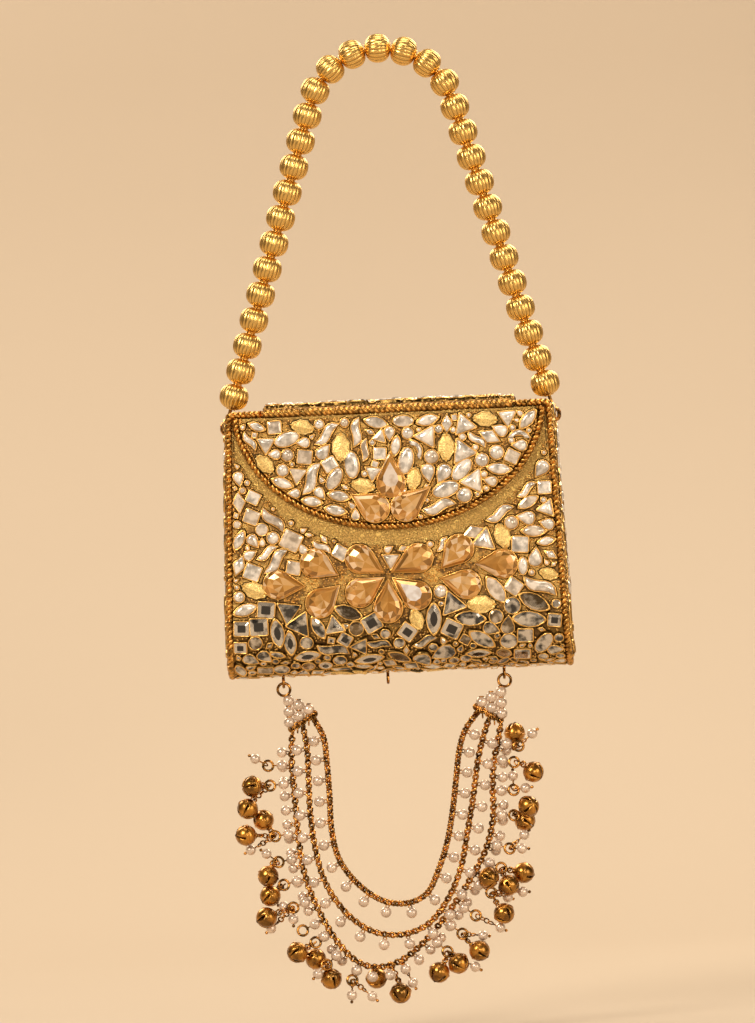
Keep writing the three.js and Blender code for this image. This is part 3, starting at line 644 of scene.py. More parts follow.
def milky_glass():
    """Foil-backed milky glass: white where the foil shines through, grey where it turns away."""
    beige = (0.66, 0.46, 0.26)
    finish = Finish("milky_glass", "glass", coat_weight=0.9, coat_roughness=0.04)
    streak = finish.noise(300, 3)
    tone = finish.own("tone")
    pale = finish.shades(0.6, 1.16, finish.level(streak + tone * 0.16, 0.36, 0.66))
    finish.set("Base Color", finish.mix(pale, beige, finish.level(tone, 0.2, 0.0) * 0.4))
    finish.set("Metallic", finish.level(streak, 0.4, 0.6, 0.5, 0.15))
    finish.set("Roughness", 0.14 + streak * 0.16)
    finish.bump(finish.noise(700, 2), 0.00006, 0.4)
    return finish.material


def mirror_glass():
    """Silvered glass: grey bevels, painted dark reflections, and in the darkest stones a painted black
    middle.
    """
    painted_bronze_reflection, black = (0.42, 0.26, 0.09), (0.012, 0.01, 0.009)
    finish = Finish("mirror_glass", "mirror", coat_weight=0.6, coat_roughness=0.03)
    tone = finish.own("tone")
    streak = finish.noise(260, 3)
    # Painted reflections: the low shades of the streaks, and a bronze cast in stones of low tone.
    face = finish.shades(0.1, 1.2, finish.level(streak + tone * 0.2, 0.48, 0.66))
    face = finish.mix(face, painted_bronze_reflection, finish.level(tone, 0.25, 0.0) * 0.6)
    # Painted reflection of a dark room: a black middle on the table of the darkest stones.
    dark = finish.level(tone, 0.66, 0.7) * finish.own("table")
    finish.set("Base Color", finish.mix(face, black, dark))
    finish.set("Metallic", 0.8 - dark * 0.75)
    finish.set("Roughness", 0.06 + streak * 0.12)
    return finish.material


def champagne_crystal():
    """Foiled champagne glass: each facet is painted with its own share of reflected light."""
    brown, peach, white = (0.58, 0.26, 0.05), (0.9, 0.62, 0.34), (0.93, 0.91, 0.93)
    finish = Finish("champagne_crystal", "amber", coat_weight=0.55, coat_roughness=0.015, coat_ior=1.5)
    tone = finish.own("tone")
    depth = finish.noise(230, 2)
    dark = shade(finish.tint, 0.3)
    # A facet's tone picks its painted reflection, from dark brown to white.
    base = finish.ramp(tone, (0.0, dark), (0.36, brown), (0.64, finish.tint), (0.84, peach), (1.0, white))
    finish.set("Base Color", finish.over(base, 0.45, finish.level(depth, 0.5, 0.72) * 0.5))
    finish.set("Metallic", finish.level(tone, 0.0, 1.0, 0.6, 0.2))
    finish.set("Roughness", finish.level(depth, 0.4, 0.7, 0.07, 0.16))
    return finish.material


def plated_steel():
    """Steel of the magnets, a little worn."""
    finish = Finish("plated_steel", "steel", metallic=1.0)
    wear = finish.noise(900, 3)
    finish.set("Base Color", finish.shades(0.8, 1.15, wear))
    finish.set("Roughness", 0.24 + wear * 0.2)
    return finish.material


def brown_velvet():
    """Velvet with its pile brushed two ways."""
    finish = Finish("brown_velvet", "velvet", sheen_weight=0.6, sheen_roughness=0.4)
    pile = finish.noise(3200, 3)
    cloud = finish.noise(70, 2)
    base = finish.shades(0.55, 1.9, finish.level(pile, 0.3, 0.7))
    finish.set("Base Color", finish.over(base, 0.7, finish.level(cloud, 0.4, 0.7) * 0.6))
    finish.set("Roughness", 0.82 + pile * 0.14)
    finish.bump(pile, 0.0002, 0.7)
    return finish.material


FINISHES = {}


def finish_of(maker):
    """One material for each maker, made when first asked for."""
    if maker.__name__ not in FINISHES:
        FINISHES[maker.__name__] = maker()
    return FINISHES[maker.__name__]


def mesh_of(bm, name="part"):
    mesh = bpy.data.meshes.new(name)
    bm.to_mesh(mesh)
    bm.free()
    return mesh


def stamp(bm, mesh, matrix, tone=None):
    """Adds a copy of a mesh to bm at a place, with a tone of its own if one is given."""
    copy = mesh.copy()
    copy.transform(matrix)
    if tone is not None:
        layer = copy.attributes.new("tone", "FLOAT", "FACE")
        layer.data.foreach_set("value", [tone] * len(copy.polygons))
    merge(bm, copy)


def merge(bm, mesh):
    """Moves a mesh into bm."""
    bm.from_mesh(mesh)
    bpy.data.meshes.remove(mesh)


def discard(*meshes):
    for mesh in meshes:
        bpy.data.meshes.remove(mesh)


def finished(bm, name, maker, body, nodes=()):
    """A piece in its place, riding on a body, with its finish; the nodes that it stands for are hidden."""
    bmesh.ops.transform(bm, matrix=SEAT, verts=bm.verts)
    mesh = mesh_of(bm, name)
    mesh.materials.append(finish_of(maker))
    piece = bpy.data.objects.new(name, mesh)
    bpy.context.scene.collection.objects.link(piece)
    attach(piece, body)
    if nodes:
        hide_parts(*nodes)
    return piece


def wire_mesh(points, radius, sides=6, closed=False):
    """Round wire through the points."""
    curve = bpy.data.curves.new("wire", "CURVE")
    curve.dimensions = "3D"
    curve.fill_mode = "FULL"
    curve.bevel_depth = radius
    curve.bevel_resolution = sides // 2 - 2
    curve.use_fill_caps = not closed
    spline = curve.splines.new("POLY")
    spline.points.add(len(points) - 1)
    spline.points.foreach_set("co", np.c_[np.asarray(points, float), np.ones(len(points))].ravel())
    spline.use_cyclic_u = closed
    holder = bpy.data.objects.new("wire", curve)
    mesh = bpy.data.meshes.new_from_object(holder)
    mesh.shade_smooth()
    bpy.data.objects.remove(holder)
    bpy.data.curves.remove(curve)
    return mesh


def spaced(points, step):
    """Points at even steps along a line of points."""
    points = np.asarray(points, float)
    run = np.r_[0, np.cumsum(np.linalg.norm(np.diff(points, axis=0), axis=1))]
    count = max(2, int(round(run[-1] / step)) + 1)
    at = np.linspace(0, run[-1], count)
    return np.stack([np.interp(at, run, points[:, i]) for i in range(3)], axis=1)


def smooth_line(points, share=12):
    """A centripetal curve through the points, as the CAD source draws its chains."""
    points = [Vector(p) for p in points]
    ends = [points[0] * 2 - points[1], *points, points[-1] * 2 - points[-2]]
    line = []
    for a, b, c, d in zip(ends, ends[1:], ends[2:], ends[3:]):
        k0, k1, k2 = (max((q - p).length ** 0.5, 1e-6) for p, q in ((a, b), (b, c), (c, d)))
        out = ((b - a) / k0 - (c - a) / (k0 + k1) + (c - b) / k1) * k1
        into = ((c - b) / k1 - (d - b) / (k1 + k2) + (d - c) / k2) * k1
        for i in range(share):
            t = i / share
            line.append(
                b * (2 * t**3 - 3 * t**2 + 1) + out * (t**3 - 2 * t**2 + t)
                + c * (3 * t**2 - 2 * t**3) + into * (t**3 - t**2))
    line.append(points[-1])
    return np.array([tuple(p) for p in line])


def frames(points):
    """Tangent and two side directions at each point, carried along without turning."""
    tangents = np.gradient(points, axis=0)
    tangents /= np.linalg.norm(tangents, axis=1)[:, None]
    side = np.cross(tangents[0], (0.3, 0.8, 0.52))
    sides = []
    for t in tangents:
        side = side - t * (side @ t)
        side = side / np.linalg.norm(side)
        sides.append(side)
    sides = np.array(sides)
    return tangents, sides, np.cross(tangents, sides)


def lay_rope(bm, points, radius, pitch, strands=2, start=0.0):
    """Strands of wire twisted round a line."""
    steps = 10
    line = spaced(points, pitch / steps)
    _, one, two = frames(line)
    turn = start + np.arange(len(line)) * 2 * math.pi / steps
    wire = radius * (0.54 if strands == 2 else 0.4)
    for k in range(strands):
        angle = turn + 2 * math.pi * k / strands
        offset = one * np.cos(angle)[:, None] + two * np.sin(angle)[:, None]
        merge(bm, wire_mesh(line + offset * (radius - wire), wire))


def half_width(z):
    return TOP_HALF_WIDTH - FLARE * z / CASE_HEIGHT


def from_picture(px, py):
    """A point of the front, in millimetres, from a point of the picture."""
    dx, dy = px - PICTURE_MIDDLE[0], py - PICTURE_MIDDLE[1]
    return PIXEL_ALONG * dx - PIXEL_ACROSS * dy, -(PIXEL_ACROSS * dx + PIXEL_ALONG * dy)


def placed(at, direction):
    """A place at a point, with +Z turned to a direction."""
    turn = Vector(direction).to_track_quat("Z", "Y").to_matrix().to_4x4()
    turn.translation = at
    return turn


def tipped(at, axis):
    """A place at a point, turned a quarter about an axis."""
    return Matrix.Translation(at) @ Matrix.Rotation(math.pi / 2, 4, axis)


def shade_smooth(bm):
    for face in bm.faces:
        face.smooth = True


def ball(radius, subdivisions=3):
    bm = bmesh.new()
    bmesh.ops.create_icosphere(bm, subdivisions=subdivisions, radius=radius)
    shade_smooth(bm)
    return mesh_of(bm)


def ring(radius, wire, steps=16, sides=6):
    """A closed wire ring in the XY plane."""
    angles = np.linspace(0, 2 * math.pi, steps, endpoint=False)
    return wire_mesh(
        np.c_[radius * np.cos(angles), radius * np.sin(angles), np.zeros(steps)], wire, sides, closed=True)


def outline(kind, length, width, inset=0.0):
    """A stone's outline, anticlockwise and along x, drawn in from its edge by an inset."""
    a, b = length / 2, width / 2
    if kind == "q":
        a, b = max(a - inset, 0.1), max(b - inset, 0.1)
        cut = min(a, b) * 0.16
        corner = [(a, cut - b), (a, b - cut), (a - cut, b), (cut - a, b)]
        return corner + [(-x, -y) for x, y in corner]
    if kind == "t":
        far = max(length / 1.8 - 2 * inset, 0.15)
        corners = [(far * math.cos(t), far * math.sin(t)) for t in (0, 2.0944, 4.1888)]
        blunt = []
        for (x0, y0), (x1, y1) in zip(corners, corners[1:] + corners[:1]):
            blunt += [(x0 + (x1 - x0) * share, y0 + (y1 - y0) * share) for share in (0.07, 0.93)]
        return blunt
    if kind in "sc":
        at = np.linspace(-1, 1, 8)
        half = b * (0.95 if kind == "s" else 0.6) * (1 - at**2) ** 0.7
        half = half * max(1 - inset / half.max(), 0.06)
        spine = WAVE * length * np.sin(math.pi * at) if kind == "s" else b * (0.9 * (1 - at**2) - 0.5)
        along = at * max(a - 1.5 * inset, 0.3)
        low = list(zip(along, spine - half))
        high = list(zip(along, spine + half))
        return low + high[-2:0:-1]
    turns = [2 * math.pi * i / 12 for i in range(12)]
    if kind in "ro":
        a, b = max(a - inset, 0.1), max(b - inset, 0.1)
        return [(a * math.cos(t), b * math.sin(t)) for t in turns]
    share = max(1 - inset / b, 0.06)
    if kind == "h":
        return [(a * share, 0), (0, b * share), (-a * share, 0), (0, -b * share)]
    if kind == "l":
        notched = [(2 * math.pi * i / 20, 1 if i % 2 == 0 else 0.9) for i in range(20)]
        return [
            (share * notch * a * 1.1 * math.cos(t),
             share * notch * b * 1.1 * math.sin(t) * abs(math.sin(t)) ** 0.75)
            for t, notch in notched]
    if kind == "d":
        waist = -0.3 * a
        return [
            (waist + share * (a * math.cos(t) - waist),
             share * b * 1.3 * math.sin(t) * math.sin(t / 2) ** 1.2)
            for t in turns]
    return [(share * a * math.cos(t), share * b * math.sin(t) * abs(math.sin(t)) ** 0.5) for t in turns]


def pear(length, width, count=14):
    """A pear outline with its point towards +x."""
    radius = width / 2
    flank = math.acos(radius / (length - radius))
    turns = [flank + i / (count - 2) * 2 * (math.pi - flank) for i in range(count - 1)]
    return [(length / 2, 0)] + [
        (radius - length / 2 + radius * math.cos(t), radius * math.sin(t)) for t in turns]


def built_up(rings, tagged=(), tag=None, smooth=True):
    """A closed body from outlines at rising heights: the first is a face, and each next one is it extruded.

    Steps in tagged get 1 in the face layer tag.
    """
    bm = bmesh.new()
    mark = bm.faces.layers.float.new(tag) if tag else None
    points, height = rings[0]
    top = bm.faces.new([bm.verts.new((x, y, height)) for x, y in points])
    for step, (goal, level) in enumerate(rings[1:], 1):
        known = set(bm.faces) - {top}
        goals = {v.co.to_tuple(3): (x, y, level) for v, (x, y) in zip(ordered(top, points), goal)}
        made = bmesh.ops.extrude_face_region(bm, geom=[top])["geom"]
        old, top = top, next(g for g in made if isinstance(g, bmesh.types.BMFace))
        for v in top.verts:
            v.co = goals[v.co.to_tuple(3)]
        if step > 1:
            bm.faces.remove(old)
        if step in tagged:
            for face in set(bm.faces) - known:
                face[mark] = 1.0
        points = goal
    bmesh.ops.recalc_face_normals(bm, faces=bm.faces)
    for face in bm.faces:
        face.smooth = smooth
    return mesh_of(bm)


def ordered(face, points):
    """The face's corners in the order of the points that they stand on."""
    corners = {v.co.to_tuple(3)[:2]: v for v in face.verts}
    return [corners[Vector((x, y, 0)).to_tuple(3)[:2]] for x, y in points]


def rim_of(shape, rim, rise):
    """A rim round a shape: a skirt painted dark as its shadow, a rounded crest and a seat sunk inside."""
    return built_up([
        (shape(-SHADOW_SKIRT), FOOT), (shape(-SHADOW_SKIRT), 0.15), (shape(0), rise * 0.72), (shape(rim * 0.4), rise),
        (shape(rim), rise * 0.75), (shape(rim * 1.08), rise * 0.3)], (3, 4), "crest")


def domed(shape, rim, rise, height):
    """A cabochon inside a rim."""
    seat = rise * 0.78
    return built_up([
        (shape(rim), rise * 0.4), (shape(rim), seat), (shape(rim + height * 0.35), seat + height * 0.6),
        (shape(rim + height), seat + height * 0.92), (shape(rim + height * 1.7), seat + height)])


def bevelled(shape, rim, rise, bevel):
    """A mirror with a bevelled edge and a flat table inside a rim."""
    seat = rise * 0.76
    table = seat + 0.32
    return built_up([
        (shape(rim), rise * 0.4), (shape(rim), seat), (shape(rim + bevel), table),
        (shape(rim + bevel + 0.06), table)], (3,), "table", smooth=False)


def leaf(length, width):
    """A stamped leaf with a notched, raised edge and a vein along its middle."""
    def shape(inset):
        return outline("l", length, width, inset)

    vein = [(0.8 * x, 0.08 * y) for x, y in shape(0)]
    # The skirt at the foot carries the leaf's painted shadow.
    return built_up([
        (shape(-SHADOW_SKIRT), FOOT), (shape(-SHADOW_SKIRT), 0.2), (shape(0), 0.8), (shape(0.3), 1.1), (shape(0.6), 0.9),
        (vein, 1.45)], (3, 4, 5), "crest", smooth=False)


class Stones:
    """Stones on one face: kind, middle, turn, length, width and tone of each."""

    def __init__(self):
        self.kinds = []
        self.rows = []
        self.tones = []

    def add(self, kind, u, w, turn, length, tone):
        self.kinds.append(kind)
        self.rows.append([u, w, turn, length, length * STONE_WIDTHS[kind]])
        self.tones.append(tone)

    def table(self):
        return np.array(self.rows, float).reshape(-1, 5)


def outline_reach(kind):
    """How far a kind's outline lies at each degree, with the stone's half length and half width as 1."""
    width = STONE_WIDTHS[kind]
    corners = np.array(outline(kind, 2, 2 * width))
    shares = np.linspace(0, 1, 40, endpoint=False)[:, None]
    edge = np.concatenate([a + (b - a) * shares for a, b in zip(corners, np.roll(corners, -1, axis=0))])
    edge[:, 1] /= width
    angles = np.degrees(np.arctan2(edge[:, 1], edge[:, 0]))
    order = angles.argsort()
    return np.interp(np.arange(360), angles[order], np.hypot(edge[:, 0], edge[:, 1])[order], period=360)


def reach(points, laid, count=12):
    """The stones nearest to each point, and how far it lies from their middles, where 1 is a stone's edge."""
    table = laid.table()
    order = "".join(STONE_WIDTHS)
    kinds = np.array([order.index(kind) for kind in laid.kinds])
    radii = np.array([outline_reach(kind) for kind in order])
    count = min(count, len(table))
    nearest = []
    for part in np.array_split(points, max(1, len(points) // 3000)):
        gaps = np.hypot(part[:, :1] - table[:, 0], part[:, 1:] - table[:, 1])
        nearest.append(np.argpartition(gaps, count - 1, axis=1)[:, :count])
    index = np.concatenate(nearest)
    u, w, turn, length, width = np.moveaxis(table[index], 2, 0)
    across, up = points[:, :1] - u, points[:, 1:] - w
    x = (across * np.cos(turn) + up * np.sin(turn)) / (length / 2)
    y = (up * np.cos(turn) - across * np.sin(turn)) / (width / 2)
    kind = kinds[index]
    far = np.hypot(x, y) / radii[kind, np.degrees(np.arctan2(y, x)).astype(int) % 360]
    bend = np.clip(x, -1, 1)
    for bent, spine, half in (
        ("s", WAVE * 2 * length / width * np.sin(math.pi * bend), 0.95),
        ("c", 0.9 * (1 - bend**2) - 0.5, 0.6),
    ):
        far = np.where(kind == order.index(bent), np.sqrt(x**4 + ((y - spine) / half) ** 2), far)
    return index, far


def room(points, laid):
    """How many millimetres points lie from the edge of the nearest stone."""
    index, far = reach(points, laid)
    return ((far - 1) * laid.table()[index, 4] / 2).min(1)


def samples(low, high, allowed, step=GROUND_STEP):
    u, w = np.meshgrid(np.arange(low[0], high[0], step), np.arange(low[1], high[1], step))
    points = np.stack([u.ravel(), w.ravel()], 1)
    return points[allowed(points[:, 0], points[:, 1])]


def read_stones(views):
    """Stones from the readings, with the turn and length carried to the front."""
    laid = Stones()
    for left, top, large, rows in views:
        for row in rows.split(","):
            kind, x, y, turn, length, *tone = row.split()
            u, w = from_picture(left + float(x) / large, top + float(y) / large)
            if w < BASE_CENTRE:
                w = BASE_CENTRE - ROLL * math.asin(min(0.97, (BASE_CENTRE - w) / ROLL))
            turned = -math.radians(float(turn) + VIEW_ROLL)
            laid.add(kind, u, w, turned, float(length) / large * PIXEL, tone[0] if tone else "w")
    return laid


def edge_points(laid, size, margin=0.0):
    """Corners of every stone's outline at a share of its size, and the stone that each belongs to."""
    edges, own = [], []
    for i, (kind, (u, w, turn, length, width)) in enumerate(zip(laid.kinds, laid.rows)):
        c, s = math.cos(turn), math.sin(turn)
        for x, y in outline(kind, length * size + 2 * margin, width * size + 2 * margin):
            edges.append((u + x * c - y * s, w + x * s + y * c))
            own.append(i)
    return np.array(edges), np.array(own)


def unit(vectors):
    return vectors / np.maximum(np.linalg.norm(vectors, axis=1), 1e-6)[:, None]


def settle(laid, ground, first=0, rounds=30, most=2.6):
    """Pushes stones a little, off the edge of the ground and off one another."""
    start = laid.table()[:, :2]
    for _ in range(rounds):
        table = laid.table()
        edges, own = edge_points(laid, 0.98)
        push = np.zeros((len(table), 2))
        lost = ~ground(edges[:, 0], edges[:, 1])
        np.add.at(push, own[lost], unit(table[own[lost], :2] - edges[lost]) * EDGE_PUSH)
        index, far = reach(edges, laid)
        far = np.where(index == own[:, None], 9, far)
        other = index[np.arange(len(own)), far.argmin(1)]
        hit = far.min(1) < 0.97
        away = unit(table[own[hit], :2] - table[other[hit], :2]) * STONE_PUSH
        np.add.at(push, own[hit], away)
        np.add.at(push, other[hit], -away)
        push *= np.minimum(1, MOST_PUSH / np.maximum(np.linalg.norm(push, axis=1), 1e-6))[:, None]
        push[:first] = 0
        moved = table[:, :2] + push - start
        moved *= np.minimum(1, most / np.maximum(np.linalg.norm(moved, axis=1), 1e-6))[:, None]
        table[:, :2] = start + moved
        laid.rows = table.tolist()


def trim(laid, ground, first=0, least=0.55, most=1.36):
    """Gives each stone the largest size that keeps to its ground and off its neighbours, or drops it."""
    best = np.zeros(len(laid.rows))
    margin = mm(sizes().stone_gap)
    for size in np.arange(least, most, 0.05):
        edges, own = edge_points(laid, size, margin)
        index, far = reach(edges, laid)
        far = np.where(index == own[:, None], 9, far)
        bad = (far.min(1) < size * NEARNESS) | ~ground(edges[:, 0], edges[:, 1])
        best = np.where(np.bincount(own, bad, len(best)) == 0, size, best)
    best[first:] *= SNUG
    best[:first] = 1
    kept = [i for i in range(len(best)) if best[i] > 0 and laid.rows[i][4] * best[i] > LEAST_WIDTH]
    laid.kinds = [laid.kinds[i] for i in kept]
    laid.tones = [laid.tones[i] for i in kept]
    laid.rows = [[*laid.rows[i][:3], laid.rows[i][3] * best[i], laid.rows[i][4] * best[i]] for i in kept]


def fill_gaps(laid, points, ground, chance, tone_at, least=1.4):
    """Adds small stones where the others leave room."""
    gap = room(points, laid)
    while gap.max() > least:
        at = int(gap.argmax())
        kind = chance.choice(SMALL_KINDS)
        turn = chance.uniform(0, math.pi)
        for share in (1.9, 1.5, 1.2):
            size = min(gap[at] * share / STONE_WIDTHS[kind] ** 0.6, MOST_FILL)
            extra = Stones()
            extra.add(kind, *points[at], turn, size, "w")
            edges, _ = edge_points(extra, 1)
            if ground(edges[:, 0], edges[:, 1]).all():
                laid.add(kind, *points[at], turn, size, tone_at(points[at][1], chance))
                gap = np.minimum(gap, room(points, extra))
                break
        gap[at] = 0


def scatter(laid, points, chance, tone_at):
    """Strews stones over a face and moves each to the middle of its own ground until they lie evenly."""
    fixed = len(laid.rows)
    area = len(points) * GROUND_STEP * GROUND_STEP
    spread = 0.0
    while spread < area:
        u, w = points[chance.randrange(len(points))]
        kind = chance.choice(STREWN_KINDS)
        length = STONE_LENGTHS[kind] * chance.uniform(0.86, 1.12)
        laid.add(kind, u, w, chance.uniform(0, 2 * math.pi), length, tone_at(w, chance))
        spread += length * length * STONE_WIDTHS[kind] * 0.95
    for _ in range(10):
        table = laid.table()
        index, far = reach(points, laid)
        own = index[np.arange(len(points)), far.argmin(1)]
        count = np.bincount(own, minlength=len(table))
        for axis in (0, 1):
            middle = np.bincount(own, points[:, axis], len(table)) / np.maximum(count, 1)
            table[fixed:, axis] = np.where(count > 0, middle, table[:, axis])[fixed:]
        laid.rows = table.tolist()


def cut_stone(kind, length, width, tone, rise):
    """The body of a stone and its rim, or a leaf. Stones of nearly the same size share one."""
    rim = mm(sizes().rim)
    if kind == "l":
        return leaf(length, width), None

    def shape(inset):
        return outline(kind, length, width, inset)

    low = min(width, length)
    if tone == "w" and kind != "q":
        gem = domed(shape, rim, rise, low * (0.24 if kind == "r" else 0.17))
    else:
        gem = bevelled(shape, rim, rise, low * (0.2 if tone == "k" else 0.13))
    return gem, rim_of(shape, rim, rise)


def set_stones(parts, laid, place, chance, rise=1.0):
    """Stamps each stone with its rim on its face."""
    cut = {}
    for kind, (u, w, turn, length, width), tone in zip(laid.kinds, laid.rows, laid.tones):
        height = mm(sizes().rise) * rise * chance.choice((0.85, 1.0, 1.15))
        size = max(round(length / CUT_STEP), 1) * CUT_STEP
        key = (kind, size, tone, height)
        if key not in cut:
            cut[key] = cut_stone(kind, size, size * width / length, tone, height)
        gem, edge = cut[key]
        lean = Matrix.Rotation(chance.gauss(0, LEAN), 4, "X") @ Matrix.Rotation(chance.gauss(0, LEAN), 4, "Y")
        at = place(u, w) @ Matrix.Rotation(turn, 4, "Z") @ lean
        if kind == "l":
            stamp(parts["leaf"], gem, at)
            continue
        # A mirror marked k gets a tone high enough for the painted black reflection in its middle.
        level = 0.7 + 0.3 * chance.random() if tone == "k" else 0.64 * chance.random()
        if tone == "g" and w > MIRROR_LINE:
            stamp(parts["glass"], gem, at, level * 0.2)
        else:
            stamp(parts["glass" if tone == "w" else "mirror"], gem, at, level)
        stamp(parts["rim"], edge, at)
    discard(*{mesh for pair in cut.values() for mesh in pair if mesh})


def strew_granules(bm, laid, points, place, chance, share=0.5):
    """Gold granules in the gaps between stones."""
    near = room(points, laid)
    grain = ball(GRANULE, 1)
    for u, w in points[near > 0.3]:
        if chance.random() < share:
            size = Matrix.Scale(chance.uniform(0.7, 1.25), 4)
            stamp(bm, grain, place(u + chance.uniform(-0.4, 0.4), w + chance.uniform(-0.4, 0.4)) @ size)
    discard(grain)


def lay_stones(laid, points, ground, chance, tone_at, first=0):
    """Makes the stones fit their ground and fills what they leave; those before first are done already."""
    settle(laid, ground, first)
    trim(laid, ground, first)
    fill_gaps(laid, points, ground, chance, tone_at)


def in_crystal(u, w, crystals, margin):
    """Which points lie on a crystal or within a margin of it."""
    hit = np.zeros(np.shape(u), bool)
    radius = mm(sizes().crystal_width) / 2
    for x, z, turn, length in crystals:
        c, s = math.cos(math.radians(turn)), math.sin(math.radians(turn))
        along = (u - x) * c + (w - z) * s + length / 2 - radius
        across = np.abs((w - z) * c - (u - x) * s)
        far = length - radius
        taper = radius * np.clip(1 - along / far, 0, 1) ** 0.8
        hit |= (along <= 0) & (np.hypot(along, across) < radius + margin)
        hit |= (along > 0) & (along < far + margin) & (across < taper + margin)
    return hit


def facing(right, up, out, at):
    """A place on a face: its right, its up and its outward direction, and a point."""
    return Matrix.Translation(at) @ Matrix((right, up, out)).transposed().to_4x4()


def on_flap(u, w):
    return facing((1, 0, 0), (0, 0, 1), (0, -1, 0), (u, FLAP_FACE, w))


def on_wrap(u, w):
    """Front, base and back in one strip; w runs down the front, round the base and up the back."""
    if w > BASE_CENTRE:
        return facing((1, 0, 0), (0, 0, 1), (0, -1, 0), (u, -ROLL, w))
    a = min((BASE_CENTRE - w) / ROLL, math.pi)
    c, s = math.cos(a), math.sin(a)
    past = max(BASE_CENTRE - w - math.pi * ROLL, 0)
    return facing((1, 0, 0), (0, -s, c), (0, -c, -s), (u, -ROLL * c, BASE_CENTRE - ROLL * s + past))


def on_top(u, w):
    return facing((1, 0, 0), (0, 1, 0), (0, 0, 1), (u, w, BED))


def on_end(side):
    slope = FLARE / CASE_HEIGHT
    level = math.hypot(1, slope)

    def place(u, w):
        out = (side / level, 0, slope / level)
        up = (-side * slope / level, 0, 1 / level)
        return facing((0, side, 0), up, out, (side * (half_width(w) + BED), side * u, w))

    return place


def flap_ground(u, w):
    inside = (u / FLAP_GROUND[0]) ** 2 + (w / FLAP_GROUND[1]) ** 2 < 1
    return inside & (w < FLAP_GROUND_TOP) & ~in_crystal(u, w, FLAP_CRYSTALS, -UNDER_CRYSTAL)


def wrap_ground(u, w):
    past = np.maximum(BASE_CENTRE - w - math.pi * ROLL, 0)
    roll = np.clip((BASE_CENTRE - w) / ROLL, 0, math.pi)
    z = np.where(w > BASE_CENTRE, w, BASE_CENTRE - ROLL * np.sin(roll) + past)
    ground = (np.abs(u) < half_width(z) - SIDE_ROOM) & (past < -BASE_CENTRE - BACK_ROOM)
    ground &= (u / UNDER_FLAP[0]) ** 2 + (np.minimum(w, 0) / UNDER_FLAP[1]) ** 2 > 1
    ground &= ~in_crystal(u, w, FRONT_CRYSTALS, -UNDER_CRYSTAL)
    low = BASE_CENTRE - ROLL * math.pi / 2
    for x in EYELETS:
        ground &= np.hypot(u - x, w - low) > EYELET_ROOM
    return ground


def top_ground(u, w):
    return (np.abs(u) < TOP_GROUND[0]) & (np.abs(w) < TOP_GROUND[1])


def end_ground(u, w):
    inside = (np.abs(u) < END_GROUND) & (w < END_GROUND_TOP) & (w > BASE_CENTRE)
    inside |= (w <= BASE_CENTRE) & (np.hypot(u, w - BASE_CENTRE) < END_GROUND)
    return inside & ~((np.abs(u) < STAPLE_ROOM[0]) & (w > -STAPLE_ROOM[1]))


def wrap_tone(w, chance):
    """White stones high on the front and back, mirrors low down and underneath."""
    if w > MIRROR_LINE or w < BACK_LINE:
        return "w"
    return "k" if chance.random() < 0.3 else "g"


def mixed_tone(w, chance):
    """Mostly white stones above, only mirrors below."""
    return chance.choice("wwwg") if w > MIRROR_LINE else chance.choice("ggk")


def top_tone(w, chance):
    return chance.choice("wwg")


def stone_parts():
    return {name: bmesh.new() for name in ("rim", "glass", "mirror", "leaf", "grain")}


def finish_stones(parts, name, body):
    makers = {
        "rim": rim_gold, "glass": milky_glass, "mirror": mirror_glass, "leaf": leaf_gold, "grain": rim_gold}
    for part, bm in parts.items():
        if part == "grain":
            crest = bm.faces.layers.float.new("crest")
            for face in bm.faces:
                face[crest] = 0.8
        if len(bm.verts):
            finished(bm, f"{name}_{part}", makers[part], body)


class ClutchOperator(bpy.types.Operator):
    bl_options = {"REGISTER"}


